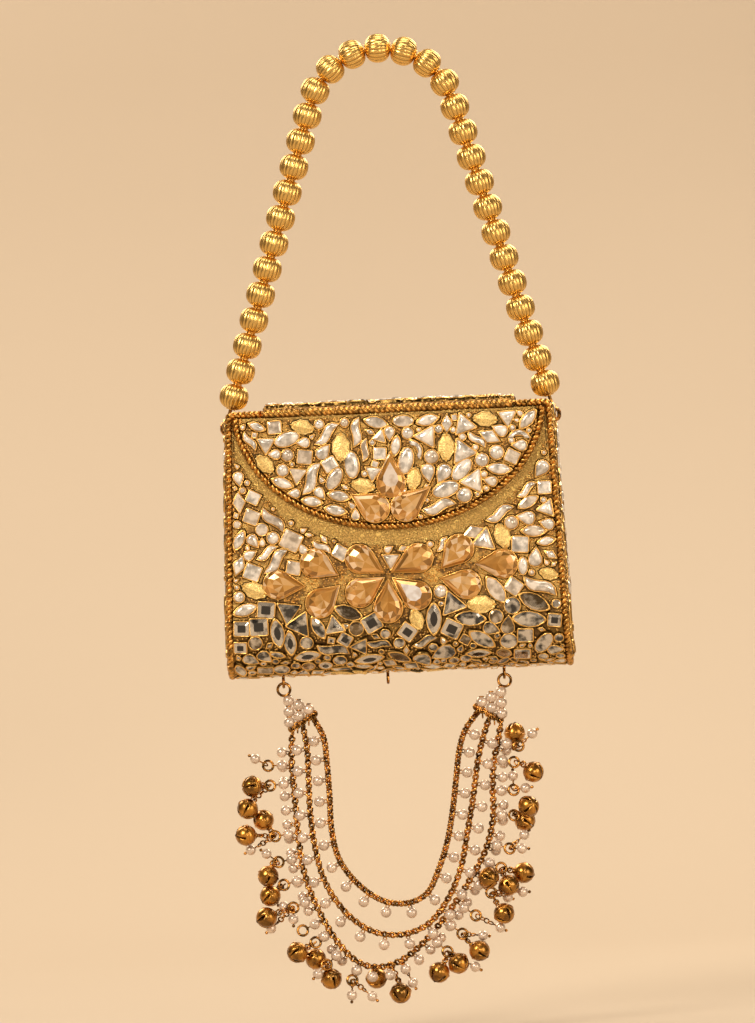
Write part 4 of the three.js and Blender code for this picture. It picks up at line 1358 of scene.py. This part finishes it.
class CLUTCH_OT_stage(ClutchOperator):
    """Camera at the picture's angle, plain floor and backdrop, soft lamps"""

    bl_idname = "clutch.stage"
    bl_label = "Stage"

    def execute(self, context):
        scene = context.scene
        scene.view_settings.view_transform = "Standard"
        aim = SEAT @ Vector(VIEW_MIDDLE)
        turn, roll = math.radians(VIEW_TURN), math.radians(VIEW_ROLL)
        back = Vector((math.sin(turn), -math.cos(turn), 0))
        right = Vector((math.cos(turn), math.sin(turn), 0))
        across = right * math.cos(roll) - Vector((0, 0, 1)) * math.sin(roll)
        camera = bpy.data.objects.new("camera", bpy.data.cameras.new("camera"))
        camera.data.sensor_width = SENSOR
        camera.data.lens = SENSOR * VIEW_AWAY / (PIXEL * PICTURE_ROWS / 1000)
        camera.data.clip_end = VIEW_END
        camera.location = aim + back * VIEW_AWAY
        camera.rotation_mode = "QUATERNION"
        camera.rotation_quaternion = Matrix((across, back.cross(across), back)).transposed().to_quaternion()
        scene.collection.objects.link(camera)
        scene.camera = camera
        self.sweep(scene)
        self.lamps(scene, aim)
        return {"FINISHED"}

    def sweep(self, scene):
        """Floor and backdrop in one sheet with a rounded bend, clear when seen from behind."""
        low = CAD_BOX[0].z - FLOOR_GAP
        line = [(FLOOR_FRONT, low), (BEND_START, low)]
        for a in np.linspace(0, math.pi / 2, 12)[1:]:
            up = low + BEND_RADIUS - BEND_RADIUS * math.cos(a)
            line.append((BEND_START + BEND_RADIUS * math.sin(a), up))
        line.append((BEND_START + BEND_RADIUS, low + WALL_HEIGHT))
        bm = bmesh.new()
        edge = [bm.verts.new((-FLOOR_HALF_WIDTH, y, z)) for y, z in line]
        edges = [bm.edges.new(pair) for pair in zip(edge, edge[1:])]
        made = bmesh.ops.extrude_edge_only(bm, edges=edges)["geom"]
        far = [g for g in made if isinstance(g, bmesh.types.BMVert)]
        bmesh.ops.translate(bm, verts=far, vec=(2 * FLOOR_HALF_WIDTH, 0, 0))
        bmesh.ops.recalc_face_normals(bm, faces=bm.faces)
        shade_smooth(bm)
        if sum(face.normal.z for face in bm.faces) < 0:
            bmesh.ops.reverse_faces(bm, faces=bm.faces)
        sheet = bpy.data.objects.new("backdrop", mesh_of(bm, "backdrop"))
        finish = Finish("backdrop_paint", "floor", roughness=0.8)
        finish.set("Base Color", finish.shades(0.96, 1.04, finish.noise(2.2, 2)))
        behind = finish.add("ShaderNodeNewGeometry", {}, {}, "Backfacing")
        clear = finish.add("ShaderNodeBsdfTransparent", {}, {})
        paint = Wire(finish, finish.shader.outputs[0])
        finish.feed(finish.end, finish.add("ShaderNodeMixShader", {}, {0: behind, 1: paint, 2: clear}))
        sheet.data.materials.append(finish.material)
        scene.collection.objects.link(sheet)

    def lamps(self, scene, aim):
        """Area lamps that all point at the middle of the view, in a dim warm room."""
        scene.world = bpy.data.worlds.new("studio")
        sky = Nodes(scene.world)
        shone = sky.add("ShaderNodeBackground", {}, {"Color": ROOM_LIGHT})
        sky.add("ShaderNodeOutputWorld", {}, {"Surface": shone}, None)
        for name, (where, size, power, tint) in LAMPS.items():
            lamp = bpy.data.lights.new(name, "AREA")
            lamp.size = size
            lamp.energy = power
            lamp.color = tint
            holder = bpy.data.objects.new(name, lamp)
            holder.location = aim + Vector(where)
            holder.rotation_mode = "QUATERNION"
            holder.rotation_quaternion = (-Vector(where)).to_track_quat("-Z", "Y")
            scene.collection.objects.link(holder)


def route(name):
    """A chain's line in millimetres: ends on the bars at y 0, the rest at the chain's own depth."""
    depth, points = ROUTES[name]
    last = len(points) - 1
    return smooth_line([(x, 0 if i in (0, last) else depth, z) for i, (x, z) in enumerate(points)])


def in_frame(points):
    return [tuple(SEAT @ Vector(p)) for p in points]


def outward(tangent):
    """Away from the middle of the festoon, square to a chain that runs from left to right."""
    return Vector((tangent[2], 0, -tangent[0])).normalized()


class CLUTCH_OT_chains(ClutchOperator):
    """Three chains of short close links, with pearls on the two inner ones"""

    bl_idname = "clutch.chains"
    bl_label = "Chains"

    def execute(self, context):
        for name in ROUTES:
            line = route(name)
            chain = self.links(name, line)
            if name != "outer":
                declare_chain(line, self.pearls(name, line))
        return {"FINISHED"}

    def links(self, name, line):
        """Links that lie across one another in turn, each tipped a little along the chain."""
        s = sizes()
        bm = bmesh.new()
        link = ring(mm(s.chain_width) / 2 - LINK_WIRE, LINK_WIRE, 8, 6)
        link.transform(Matrix.Rotation(math.pi / 8, 4, "Z"))
        points = spaced(line, mm(s.link_pitch))
        tangents, sides, others = frames(points)
        for i, p in enumerate(points):
            first, second = (sides[i], others[i]) if i % 2 else (others[i], -sides[i])
            tip = tangents[i] * 0.9 + second * 0.25
            at = Matrix((first, tip / np.linalg.norm(tip), second)).transposed().to_4x4()
            at.translation = p
            stamp(bm, link, at)
        discard(link)
        return finished(bm, f"{name}_chain_links", chain_gold, "festoon", [f"{name}_chain"])

    def pearls(self, name, line):
        """Single pearls on eyes along the outside of a chain."""
        pearl, eye = ball(mm(sizes().pearl)), ring(*CHAIN_EYE, 10, 4)
        pearls, eyes = bmesh.new(), bmesh.new()
        points = spaced(line, PEARL_STEP)
        tangents = frames(points)[0]
        for p, t in list(zip(points, tangents))[1:-1]:
            away = outward(t)
            stamp(pearls, pearl, Matrix.Translation(Vector(p) + away * PEARL_OUT))
            stamp(eyes, eye, placed(Vector(p) + away * EYE_OUT, (0, 1, 0)))
        discard(pearl, eye)
        return [
            finished(pearls, f"{name}_chain_pearls", pearl_glaze, "festoon"),
            finished(eyes, f"{name}_chain_eyes", chain_gold, "festoon")]


def declare_chain(line, pieces):
    path = in_frame(spaced(line, 3))
    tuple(path[0])


class CLUTCH_OT_fringe(ClutchOperator):
    """Pearls, jump rings, bells and pearl drops on the outer chain"""

    bl_idname = "clutch.fringe"
    bl_label = "Fringe"

    def execute(self, context):
        self.taken = []
        line = route("outer")
        points = spaced(line, 0.8)
        tangents = frames(points)[0]
        parts = {name: bmesh.new() for name in ("pearls", "wires", "bells")}
        rings = []
        jump = ring(*JUMP_RING, 18, 6)
        for px, py in RINGS:
            at = self.hung(*from_picture(px, py), 2.4)
            stamp(parts["wires"], jump, placed(at, (0.25, -1, 0.2)))
            rings.append(at)
            self.pin(parts, points, at)
        discard(jump)
        self.row(parts, points, tangents)
        holds = rings + [Vector(p) for p in points[6:-6]]
        self.bells(parts, holds)
        self.drops(parts, holds)
        made = [
            finished(parts["pearls"], "fringe_pearls", pearl_glaze, "festoon"),
            finished(parts["wires"], "fringe_wires", chain_gold, "festoon"),
            finished(parts["bells"], "fringe_bells", bell_gold, "festoon")]
        for side in ("left", "right"):
            made += [bpy.data.objects[f"{side}_cluster_{part}"] for part in ("pearls", "bar")]
        declare_chain(line, made)
        return {"FINISHED"}

    def hung(self, x, z, radius):
        """A point at the depth nearest to the chain's own at which a ball clears those already hung."""
        for y in HANGING_DEPTHS:
            at = Vector((x, y, z))
            if all((at - p).length > radius + r - 0.2 for p, r in self.taken):
                break
        self.taken.append((at, radius))
        return at

    def wire(self, bm, start, end):
        merge(bm, wire_mesh([start, start.lerp(end, 0.5), end], PIN_WIRE))

    def join(self, bm, start, end):
        """Small links from one point to another, each turned a quarter from the last."""
        gap = (end - start).length
        count = max(1, round(gap / 2.0))
        link = ring(min(1.15, gap / count * 0.5 + 0.35), JOIN_WIRE, 10, 5)
        for i in range(count):
            at = placed(start.lerp(end, (i + 0.5) / count), end - start)
            at = at @ Matrix.Rotation(math.pi / 2 * (i % 2) + 0.5, 4, "Z")
            stamp(bm, link, at @ Matrix.Rotation(math.pi / 2, 4, "X"))
        discard(link)

    def pin(self, parts, points, at):
        """A pin from the chain to a ring, with a pearl where there is room for one."""
        near = Vector(points[np.linalg.norm(points - np.array(at), axis=1).argmin()])
        away = at - near
        self.wire(parts["wires"], near, at - away.normalized() * min(JUMP_RING[0], away.length * 0.8))
        if away.length > 7:
            pearl = ball(mm(sizes().pearl))
            middle = near + away.normalized() * (away.length * 0.42)
            stamp(parts["pearls"], pearl, Matrix.Translation(middle))
            discard(pearl)
            self.taken.append((middle, mm(sizes().pearl)))

    def row(self, parts, points, tangents):
        """Pearls close together along the outside of the chain."""
        radius = mm(sizes().pearl) * 0.96
        pearl, eye = ball(radius), ring(*ROW_EYE, 8, 4)
        for i in range(10, len(points) - 8, 8):
            away = outward(tangents[i])
            at = Vector(points[i]) + away * (4.4 if i % 16 else 5.2)
            stamp(parts["pearls"], pearl, Matrix.Translation(self.hung(at.x, at.z, radius)))
            stamp(parts["wires"], eye, placed(Vector(points[i]) + away * EYE_OUT, (0, 1, 0)))
        discard(pearl, eye)

    def bells(self, parts, holds):
        """Bells that lean towards what holds them."""
        radius = mm(sizes().bell)
        bell = self.bell(radius)
        chance = random.Random(23)
        for x, z in BELLS:
            at = self.hung(x, z, radius)
            near = min(holds, key=lambda hold: (hold - at).length)
            lean = (near - at).normalized() + Vector((chance.uniform(-0.3, 0.3), chance.uniform(0.2, 1.1), 0))
            up = lean.normalized()
            stamp(parts["bells"], bell, placed(at, up) @ Matrix.Rotation(chance.uniform(0, 1.57), 4, "Z"))
            self.join(parts["wires"], at + up * (radius + 1.5), near)
        discard(bell)

    def drops(self, parts, holds):
        """Single pearls on pins with a knob below."""
        radius = mm(sizes().pearl)
        pearl, knob = ball(radius * 0.94), ball(0.75, 2)
        for px, py in DROPS:
            at = self.hung(*from_picture(px, py), radius)
            near = min(holds, key=lambda hold: (hold - at).length)
            up = (near - at).normalized()
            top = at + up * (radius + 1.2)
            stamp(parts["pearls"], pearl, Matrix.Translation(at))
            stamp(parts["wires"], knob, Matrix.Translation(at - up * (radius + 0.5)))
            self.wire(parts["wires"], at - up * (radius + 0.3), top)
            self.join(parts["wires"], top, near)
        discard(pearl, knob)

    def bell(self, radius):
        """A round bell with four slots from its bottom, a pellet inside and a loop on top."""
        bm = bmesh.new()
        bmesh.ops.create_uvsphere(bm, u_segments=24, v_segments=14, radius=radius)
        half_step = Matrix.Rotation(math.radians(7.5), 3, "Z")
        bmesh.ops.rotate(bm, cent=(0, 0, 0), matrix=half_step, verts=bm.verts)
        slots = []
        for face in bm.faces:
            middle = face.calc_center_median()
            turn = math.degrees(math.atan2(middle.y, middle.x)) % 90
            if middle.z < -0.16 * radius and (turn < 4 or turn > 86):
                slots.append(face)
        bmesh.ops.delete(bm, geom=slots, context="FACES")
        bmesh.ops.solidify(bm, geom=bm.faces[:], thickness=BELL_WALL)
        bmesh.ops.create_cone(
            bm, cap_ends=True, segments=12, radius1=1.7, radius2=1.0, depth=0.9,
            matrix=Matrix.Translation((0, 0, radius + 0.1)))
        shade_smooth(bm)
        bmesh.ops.create_icosphere(bm, subdivisions=2, radius=PELLET, matrix=Matrix.Translation((0, 0, -1.8)))
        seam, loop = ring(radius + 0.02, BELL_SEAM, 32, 6), ring(*BELL_LOOP, 12, 6)
        stamp(bm, seam, Matrix.Translation((0, 0, 0.35)))
        stamp(bm, loop, tipped((0, 0, radius + 1.5), "X"))
        discard(seam, loop)
        return mesh_of(bm)


class CLUTCH_OT_clusters(ClutchOperator):
    """The pearl clusters at the ends of the festoon, with their rings and slanting bars"""

    bl_idname = "clutch.clusters"
    bl_label = "End clusters"

    def execute(self, context):
        radius = mm(sizes().pearl) * 1.02
        for name, side, x in (("left", -1, EYELETS[0]), ("right", 1, EYELETS[-1])):
            pearls, metal = bmesh.new(), bmesh.new()
            pearl, cup = ball(radius), ring(*PEARL_CUP, 12, 4)
            for row in range(3):
                for column in range(3 - row):
                    at = self.pearl_place(x, side, row, column)
                    stamp(pearls, pearl, Matrix.Translation(at))
                    stamp(metal, cup, Matrix.Translation(at + Vector((0, 0, radius * 0.94))))
            link, small = ring(*CLUSTER_LINK, 24, 8), ring(*BAR_RING, 12, 6)
            stamp(metal, link, tipped((x, 0, CLUSTER_RING), "X"))
            low, high = self.pearl_place(x, side, 2, 0), self.pearl_place(x, side, 0, 2)
            along = (high - low).normalized()
            below = Vector((-along.z, 0, along.x)) * side * BAR_BELOW
            start, end = low + below - along * 2, high + below + along * 2
            lay_rope(metal, [start, end], BAR_RADIUS, BAR_PITCH)
            for share in (0.08, 0.29, 0.5, 0.71, 0.92):
                at = start.lerp(end, share)
                stamp(metal, small, tipped(at + Vector((0, -1.0, 0.2)), "X"))
                stamp(metal, small, tipped(at - Vector((0, 0, 1.9)), "Y"))
            discard(pearl, cup, link, small)
            nodes = [f"{name}_end_cluster"]
            finished(pearls, f"{name}_cluster_pearls", pearl_glaze, "festoon", nodes)
            finished(metal, f"{name}_cluster_bar", chain_gold, "festoon")
        return {"FINISHED"}

    def pearl_place(self, x, side, row, column):
        """Columns go inward and down from the eyelet, rows straight down."""
        along = CLUSTER_START[0] + CLUSTER_COLUMN[0] * column
        down = CLUSTER_START[1] + CLUSTER_ROW * row + CLUSTER_COLUMN[1] * column
        return Vector((x - side * along, 0, -down))


class CLUTCH_OT_beads(ClutchOperator):
    """Ribbed beads of the handle, each with a collar at both ends"""

    bl_idname = "clutch.beads"
    bl_label = "Handle beads"

    def execute(self, context):
        names = sorted(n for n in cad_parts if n.startswith("bead_"))
        back = SEAT.inverted()
        places = [back @ ((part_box(n)[0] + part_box(n)[1]) / 2) for n in names]
        step = sum((b - a).length for a, b in zip(places, places[1:])) / (len(places) - 1)
        bead = self.bead(step - BEAD_GAP)
        bm = bmesh.new()
        for i, at in enumerate(places):
            before, after = places[max(i - 1, 0)], places[min(i + 1, len(places) - 1)]
            stamp(bm, bead, placed(at, after - before) @ Matrix.Rotation(0.9 * i, 4, "Z"))
        discard(bead)
        finished(bm, "handle_beads", bead_gold, "handle", names)
        return {"FINISHED"}

    def bead(self, length):
        """A full round bead with ribs that fade towards its ends, and a collar at each end."""
        s = sizes()
        radius, depth, ribs = mm(s.bead_radius), mm(s.rib_depth), s.bead_ribs
        bm = bmesh.new()
        bmesh.ops.create_uvsphere(bm, u_segments=ribs * 4, v_segments=16, radius=radius)
        rib = bm.verts.layers.float.new("rib")
        for v in bm.verts:
            round_part = math.hypot(v.co.x, v.co.y) / radius
            crest = abs(math.cos(math.atan2(v.co.y, v.co.x) * ribs / 2)) ** 0.7
            # The rib layer falls in the grooves and towards the ends, where the finish paints shade.
            v[rib] = crest * min(1, round_part * 2.2)
            full = max(round_part, 1e-4) ** -0.16
            share = full * (1 - depth / radius * (1 - crest) * min(1, round_part * 1.6))
            v.co.x *= share
            v.co.y *= share
            rise = abs(v.co.z / radius) ** 0.88
            v.co.z = math.copysign(rise * length / 2, v.co.z)
        for end in (-1, 1):
            collar = bmesh.ops.create_cone(
                bm, cap_ends=True, segments=20, radius1=COLLAR_RADIUS, radius2=COLLAR_RADIUS,
                depth=COLLAR_LENGTH, matrix=Matrix.Translation((0, 0, end * (length / 2 - COLLAR_IN))))
            # Collars take the full rib layer, so no painted shade.
            for v in collar["verts"]:
                v[rib] = 1.0
        for face in bm.faces:
            face.smooth = len(face.verts) <= 4 and abs(face.normal.z) < 0.98
        return mesh_of(bm)


class CLUTCH_OT_ropes(ClutchOperator):
    """Twisted ropes round the ends, the flap and the hinge"""

    bl_idname = "clutch.ropes"
    bl_label = "Ropes"

    def execute(self, context):
        s = sizes()
        radius, pitch = mm(s.rope_radius), mm(s.rope_pitch)
        for name, side in (("left", -1), ("right", 1)):
            bm = bmesh.new()
            lay_rope(bm, self.edge(side), radius, pitch)
            finished(bm, f"{name}_twisted_rope", rope_gold, "case", [f"{name}_edge_rope"])
        start = math.asin(FLAP_ROPE_TOP / FLAP_ROPE[1])
        turns = np.linspace(math.pi + start, 2 * math.pi - start, 160)
        bm = bmesh.new()
        lay_rope(bm, self.arc(turns, FLAP_ROPE, HINGE[0]), radius, pitch)
        merge(bm, wire_mesh(self.arc(turns, FLAP_EDGING, FLAP_EDGING_FACE), FLAP_EDGING_WIRE))
        finished(bm, "flap_twisted_rope", rope_gold, "flap", ["flap_rope"])
        knuckle = HINGE_LENGTH / KNUCKLES
        for body, first in (("case", 0), ("flap", 1)):
            bm = bmesh.new()
            for i in range(first, KNUCKLES, 2):
                left = -HINGE_LENGTH / 2 + i * knuckle + KNUCKLE_GAP
                merge(bm, self.knuckle_rope(left, left + knuckle - 2 * KNUCKLE_GAP))
            finished(bm, f"{body}_hinge_rope", rope_gold, body)
        return {"FINISHED"}

    def arc(self, turns, half_axes, y):
        """Points of an ellipse that faces the front."""
        return [(half_axes[0] * math.cos(t), y, half_axes[1] * math.sin(t)) for t in turns]

    def knuckle_rope(self, left, right):
        """Rope round one knuckle of the hinge, cut flat at both ends so that it turns past its neighbours."""
        start = left - 2
        twist = start * 2 * math.pi / KNUCKLE_PITCH
        bm = bmesh.new()
        lay_rope(bm, [(start, *HINGE), (right + 2, *HINGE)], KNUCKLE_ROPE, KNUCKLE_PITCH, 3, twist)
        for x, way in ((left, -1), (right, 1)):
            cut = bmesh.ops.bisect_plane(
                bm, geom=[*bm.verts, *bm.edges, *bm.faces], plane_co=(x, 0, 0), plane_no=(way, 0, 0),
                clear_outer=True)
            edges = [g for g in cut["geom_cut"] if isinstance(g, bmesh.types.BMEdge)]
            bmesh.ops.edgeloop_fill(bm, edges=edges)
        return mesh_of(bm)

    def edge(self, side):
        """Along the top past the hinge, round the corner, down the front, under the base and up the back."""
        out = HALF_DEPTH + ROPE_OUT

        def at(y, z):
            return (side * (half_width(z) + ROPE_OUT), y, z)

        line = [(side * x, -out, HINGE[1]) for x in EDGE_ROPE_TOP]
        for a in (0.4, 0.8, 1.2):
            across = EDGE_ROPE_TOP[1] + EDGE_ROPE_BEND * math.sin(a)
            line.append((side * across, -out, HINGE[1] - EDGE_ROPE_BEND + EDGE_ROPE_BEND * math.cos(a)))
        line += [at(-out, z) for z in np.linspace(EDGE_ROPE_CORNER, BASE_CENTRE, 20)]
        for a in np.linspace(0, math.pi, 40)[1:-1]:
            line.append(at(-out * math.cos(a), BASE_CENTRE - out * math.sin(a)))
        return line + [at(out, z) for z in np.linspace(BASE_CENTRE, EDGE_ROPE_CORNER, 20)]


class CLUTCH_OT_crystals(ClutchOperator):
    """Pear-cut crystals of the flap and the front, each in a rim"""

    bl_idname = "clutch.crystals"
    bl_label = "Crystals"

    def execute(self, context):
        self.lay("flap", FLAP_CRYSTALS, on_flap)
        self.lay("front", FRONT_CRYSTALS, on_wrap)
        return {"FINISHED"}

    def lay(self, name, crystals, place):
        """Crystals of one face, each with facets of its own."""
        chance = random.Random(name)
        body = "flap" if name == "flap" else "case"
        width = mm(sizes().crystal_width)
        glass, rims = bmesh.new(), bmesh.new()
        for x, z, turn, length in crystals:
            at = place(x, z) @ Matrix.Rotation(math.radians(turn), 4, "Z")
            # Tone of the table's painted reflection.
            table = PAINTED_REFLECTION_TABLES.get((x, z)) or chance.uniform(0.6, 0.84)
            gem = self.gem(length + CRYSTAL_OVER, width, mm(sizes().crystal_rise), chance, table)

            def shape(inset):
                return pear(length + 2 * CRYSTAL_OVER - 2.4 * inset, width + CRYSTAL_OVER - 2 * inset, 18)

            edge = rim_of(shape, CRYSTAL_RIM, CRYSTAL_RIM_RISE)
            stamp(glass, gem, at)
            stamp(rims, edge, at)
            discard(gem, edge)
        finished(glass, f"{name}_crystals", champagne_crystal, body)
        finished(rims, f"{name}_crystal_rims", rim_gold, body)

    def gem(self, length, width, rise, chance, table_reflection):
        """Girdle, crown and table as the hull of four rings."""
        bm = bmesh.new()
        tone = bm.faces.layers.float.new("tone")
        for height, scale, count, every in (
                (0.05, 1, 15, 1), (rise * 0.36, 1, 15, 1), (rise * 0.7, 0.84, 15, 2), (rise, 0.55, 8, 1)):
            for x, y in pear(length * scale, width * scale, count)[::every]:
                bm.verts.new((x, y, height))
        bmesh.ops.convex_hull(bm, input=bm.verts[:])
        bmesh.ops.dissolve_limit(bm, angle_limit=math.radians(2), verts=bm.verts, edges=bm.edges)
        bmesh.ops.recalc_face_normals(bm, faces=bm.faces)
        table = [face for face in bm.faces if face.normal.z > 0.98]
        below = set(bmesh.ops.poke(bm, faces=table)["faces"])
        # Each facet's tone sets its painted reflection; the table takes the crystal's own.
        for face in bm.faces:
            if face in below:
                face[tone] = min(1.0, table_reflection + chance.uniform(-0.28, 0.1) * (table_reflection < 0.9))
            else:
                face[tone] = chance.choice((0.1, 0.3, 0.5, 0.66, 0.86))
            face.smooth = False
        return mesh_of(bm)


class CLUTCH_OT_flap_stones(ClutchOperator):
    """Stones and stamped leaves of the flap"""

    bl_idname = "clutch.flap_stones"
    bl_label = "Flap stones"

    def execute(self, context):
        chance = random.Random(11)
        parts = stone_parts()
        points = samples((-66, -52), (66, 0), flap_ground, 0.8)
        laid = read_stones(FLAP_STONES)
        lay_stones(laid, points, flap_ground, chance, lambda w, c: "w")
        set_stones(parts, laid, on_flap, chance)
        strew_granules(parts["grain"], laid, points, on_flap, chance)
        finish_stones(parts, "flap_stone", "flap")
        return {"FINISHED"}


class CLUTCH_OT_case_stones(ClutchOperator):
    """Stones and stamped leaves of the front, base, back, top and ends"""

    bl_idname = "clutch.case_stones"
    bl_label = "Case stones"

    def execute(self, context):
        chance = random.Random(7)
        parts = stone_parts()
        self.wrap(parts, chance)
        self.strewn(parts, chance, (-56, -20), (56, 20), top_ground, on_top, top_tone, 1.7)
        for side in (-1, 1):
            self.strewn(parts, chance, (-23, -116), (23, 0), end_ground, on_end(side), mixed_tone, 2.0)
        finish_stones(parts, "case_stone", "case")
        return {"FINISHED"}

    def wrap(self, parts, chance):
        end = BASE_CENTRE * 2 - math.pi * ROLL
        points = samples((-76, end), (76, 0), wrap_ground)
        laid = read_stones(FRONT_STONES)
        seen = points[:, 1] > BASE_CENTRE - ROLL
        open_ground = seen & ~in_crystal(points[:, 0], points[:, 1], FRONT_CRYSTALS, CRYSTAL_ROOM)
        lay_stones(laid, points[open_ground], wrap_ground, chance, wrap_tone)
        first = len(laid.rows)
        rest = points[~seen]
        scatter(laid, rest, chance, wrap_tone)
        lay_stones(laid, rest, wrap_ground, chance, wrap_tone, first)
        set_stones(parts, laid, on_wrap, chance)
        strew_granules(parts["grain"], laid, points, on_wrap, chance)

    def strewn(self, parts, chance, low, high, ground, place, tone_at, rise):
        points = samples(low, high, ground)
        laid = Stones()
        scatter(laid, points, chance, tone_at)
        lay_stones(laid, points, ground, chance, tone_at)
        set_stones(parts, laid, place, chance, rise)
        strew_granules(parts["grain"], laid, points, place, chance)


class CLUTCH_OT_lining(ClutchOperator):
    """Velvet lining, quilted in diamonds on its inside"""

    bl_idname = "clutch.lining"
    bl_label = "Lining"

    def execute(self, context):
        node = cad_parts["lining"]
        bm = bmesh.new()
        bm.from_mesh(node.data)
        bmesh.ops.transform(bm, matrix=SEAT.inverted() @ node.matrix_world, verts=bm.verts)
        bmesh.ops.remove_doubles(bm, verts=bm.verts, dist=0.01)
        for _ in range(7):
            long = [e for e in bm.edges if e.calc_length() > LINING_EDGE]
            if not long:
                break
            bmesh.ops.subdivide_edges(bm, edges=long, cuts=1)
            bmesh.ops.triangulate(bm, faces=bm.faces)
        bm.normal_update()
        for v in bm.verts:
            x, y, z = v.co
            inward = v.normal.dot(Vector((-x * 0.3, -y, -50 - z)))
            if inward > 0 and all(f.normal.dot(v.normal) > 0.8 for f in v.link_faces):
                v.co += v.normal * self.puff(v)
        shade_smooth(bm)
        lining = finished(bm, "quilted_lining", brown_velvet, "case", ["lining"])
        return {"FINISHED"}

    def puff(self, v):
        """Height of the padding: nothing along the stitched lines, most in the middle of a diamond."""
        x, y, z = v.co
        if abs(v.normal.x) > 0.7:
            across, down = y, z
        elif z < BASE_CENTRE:
            across, down = x, BASE_CENTRE - LINING_ROLL * math.atan2(BASE_CENTRE - z, -y)
        else:
            across, down = x, z
        one, two = (across + down) * math.pi / QUILT, (across - down) * math.pi / QUILT
        return PADDING * abs(math.sin(one) * math.sin(two)) ** 0.5


class CLUTCH_OT_metalwork(ClutchOperator):
    """Finishes of the sheet metal, the mosaic's bed, wires and magnets"""

    bl_idname = "clutch.metalwork"
    bl_label = "Metalwork"

    def execute(self, context):
        for name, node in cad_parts.items():
            if "mosaic" in name:
                self.coat(node, bed_gold)
            elif name in ("case_wrap", "flap_plate", "left_end_plate", "right_end_plate"):
                self.coat(node, grained_gold)
            elif "magnet" in name:
                self.coat(node, plated_steel)
            else:
                self.coat(node, chain_gold)
        return {"FINISHED"}

    def coat(self, node, maker):
        node.data.materials.clear()
        node.data.materials.append(finish_of(maker))


class CLUTCH_PT_panel(bpy.types.Panel):
    bl_idname = "CLUTCH_PT_panel"
    bl_label = "Clutch"
    bl_space_type = "VIEW_3D"
    bl_region_type = "UI"
    bl_category = "Clutch"

    def draw(self, context):
        for group in (context.scene.clutch_sizes, context.scene.clutch_colours):
            for name in group.__annotations__:
                self.layout.prop(group, name)
        for operator in OPERATORS:
            self.layout.operator(operator.bl_idname)


OPERATORS = (
    CLUTCH_OT_stage, CLUTCH_OT_chains, CLUTCH_OT_clusters, CLUTCH_OT_fringe, CLUTCH_OT_beads, CLUTCH_OT_ropes,
    CLUTCH_OT_crystals, CLUTCH_OT_flap_stones, CLUTCH_OT_case_stones, CLUTCH_OT_lining, CLUTCH_OT_metalwork)
CLASSES = (ClutchSizes, ClutchColours, *OPERATORS, CLUTCH_PT_panel)


def register():
    for cls in CLASSES:
        bpy.utils.register_class(cls)
    bpy.types.Scene.clutch_sizes = PointerProperty(type=ClutchSizes)
    bpy.types.Scene.clutch_colours = PointerProperty(type=ClutchColours)


def unregister():
    del bpy.types.Scene.clutch_colours
    del bpy.types.Scene.clutch_sizes
    for cls in reversed(CLASSES):
        bpy.utils.unregister_class(cls)


def main():
    register()
    for cls in OPERATORS:
        group, name = cls.bl_idname.split(".")
        getattr(getattr(bpy.ops, group), name)()


if __name__ == "__main__":
    main()
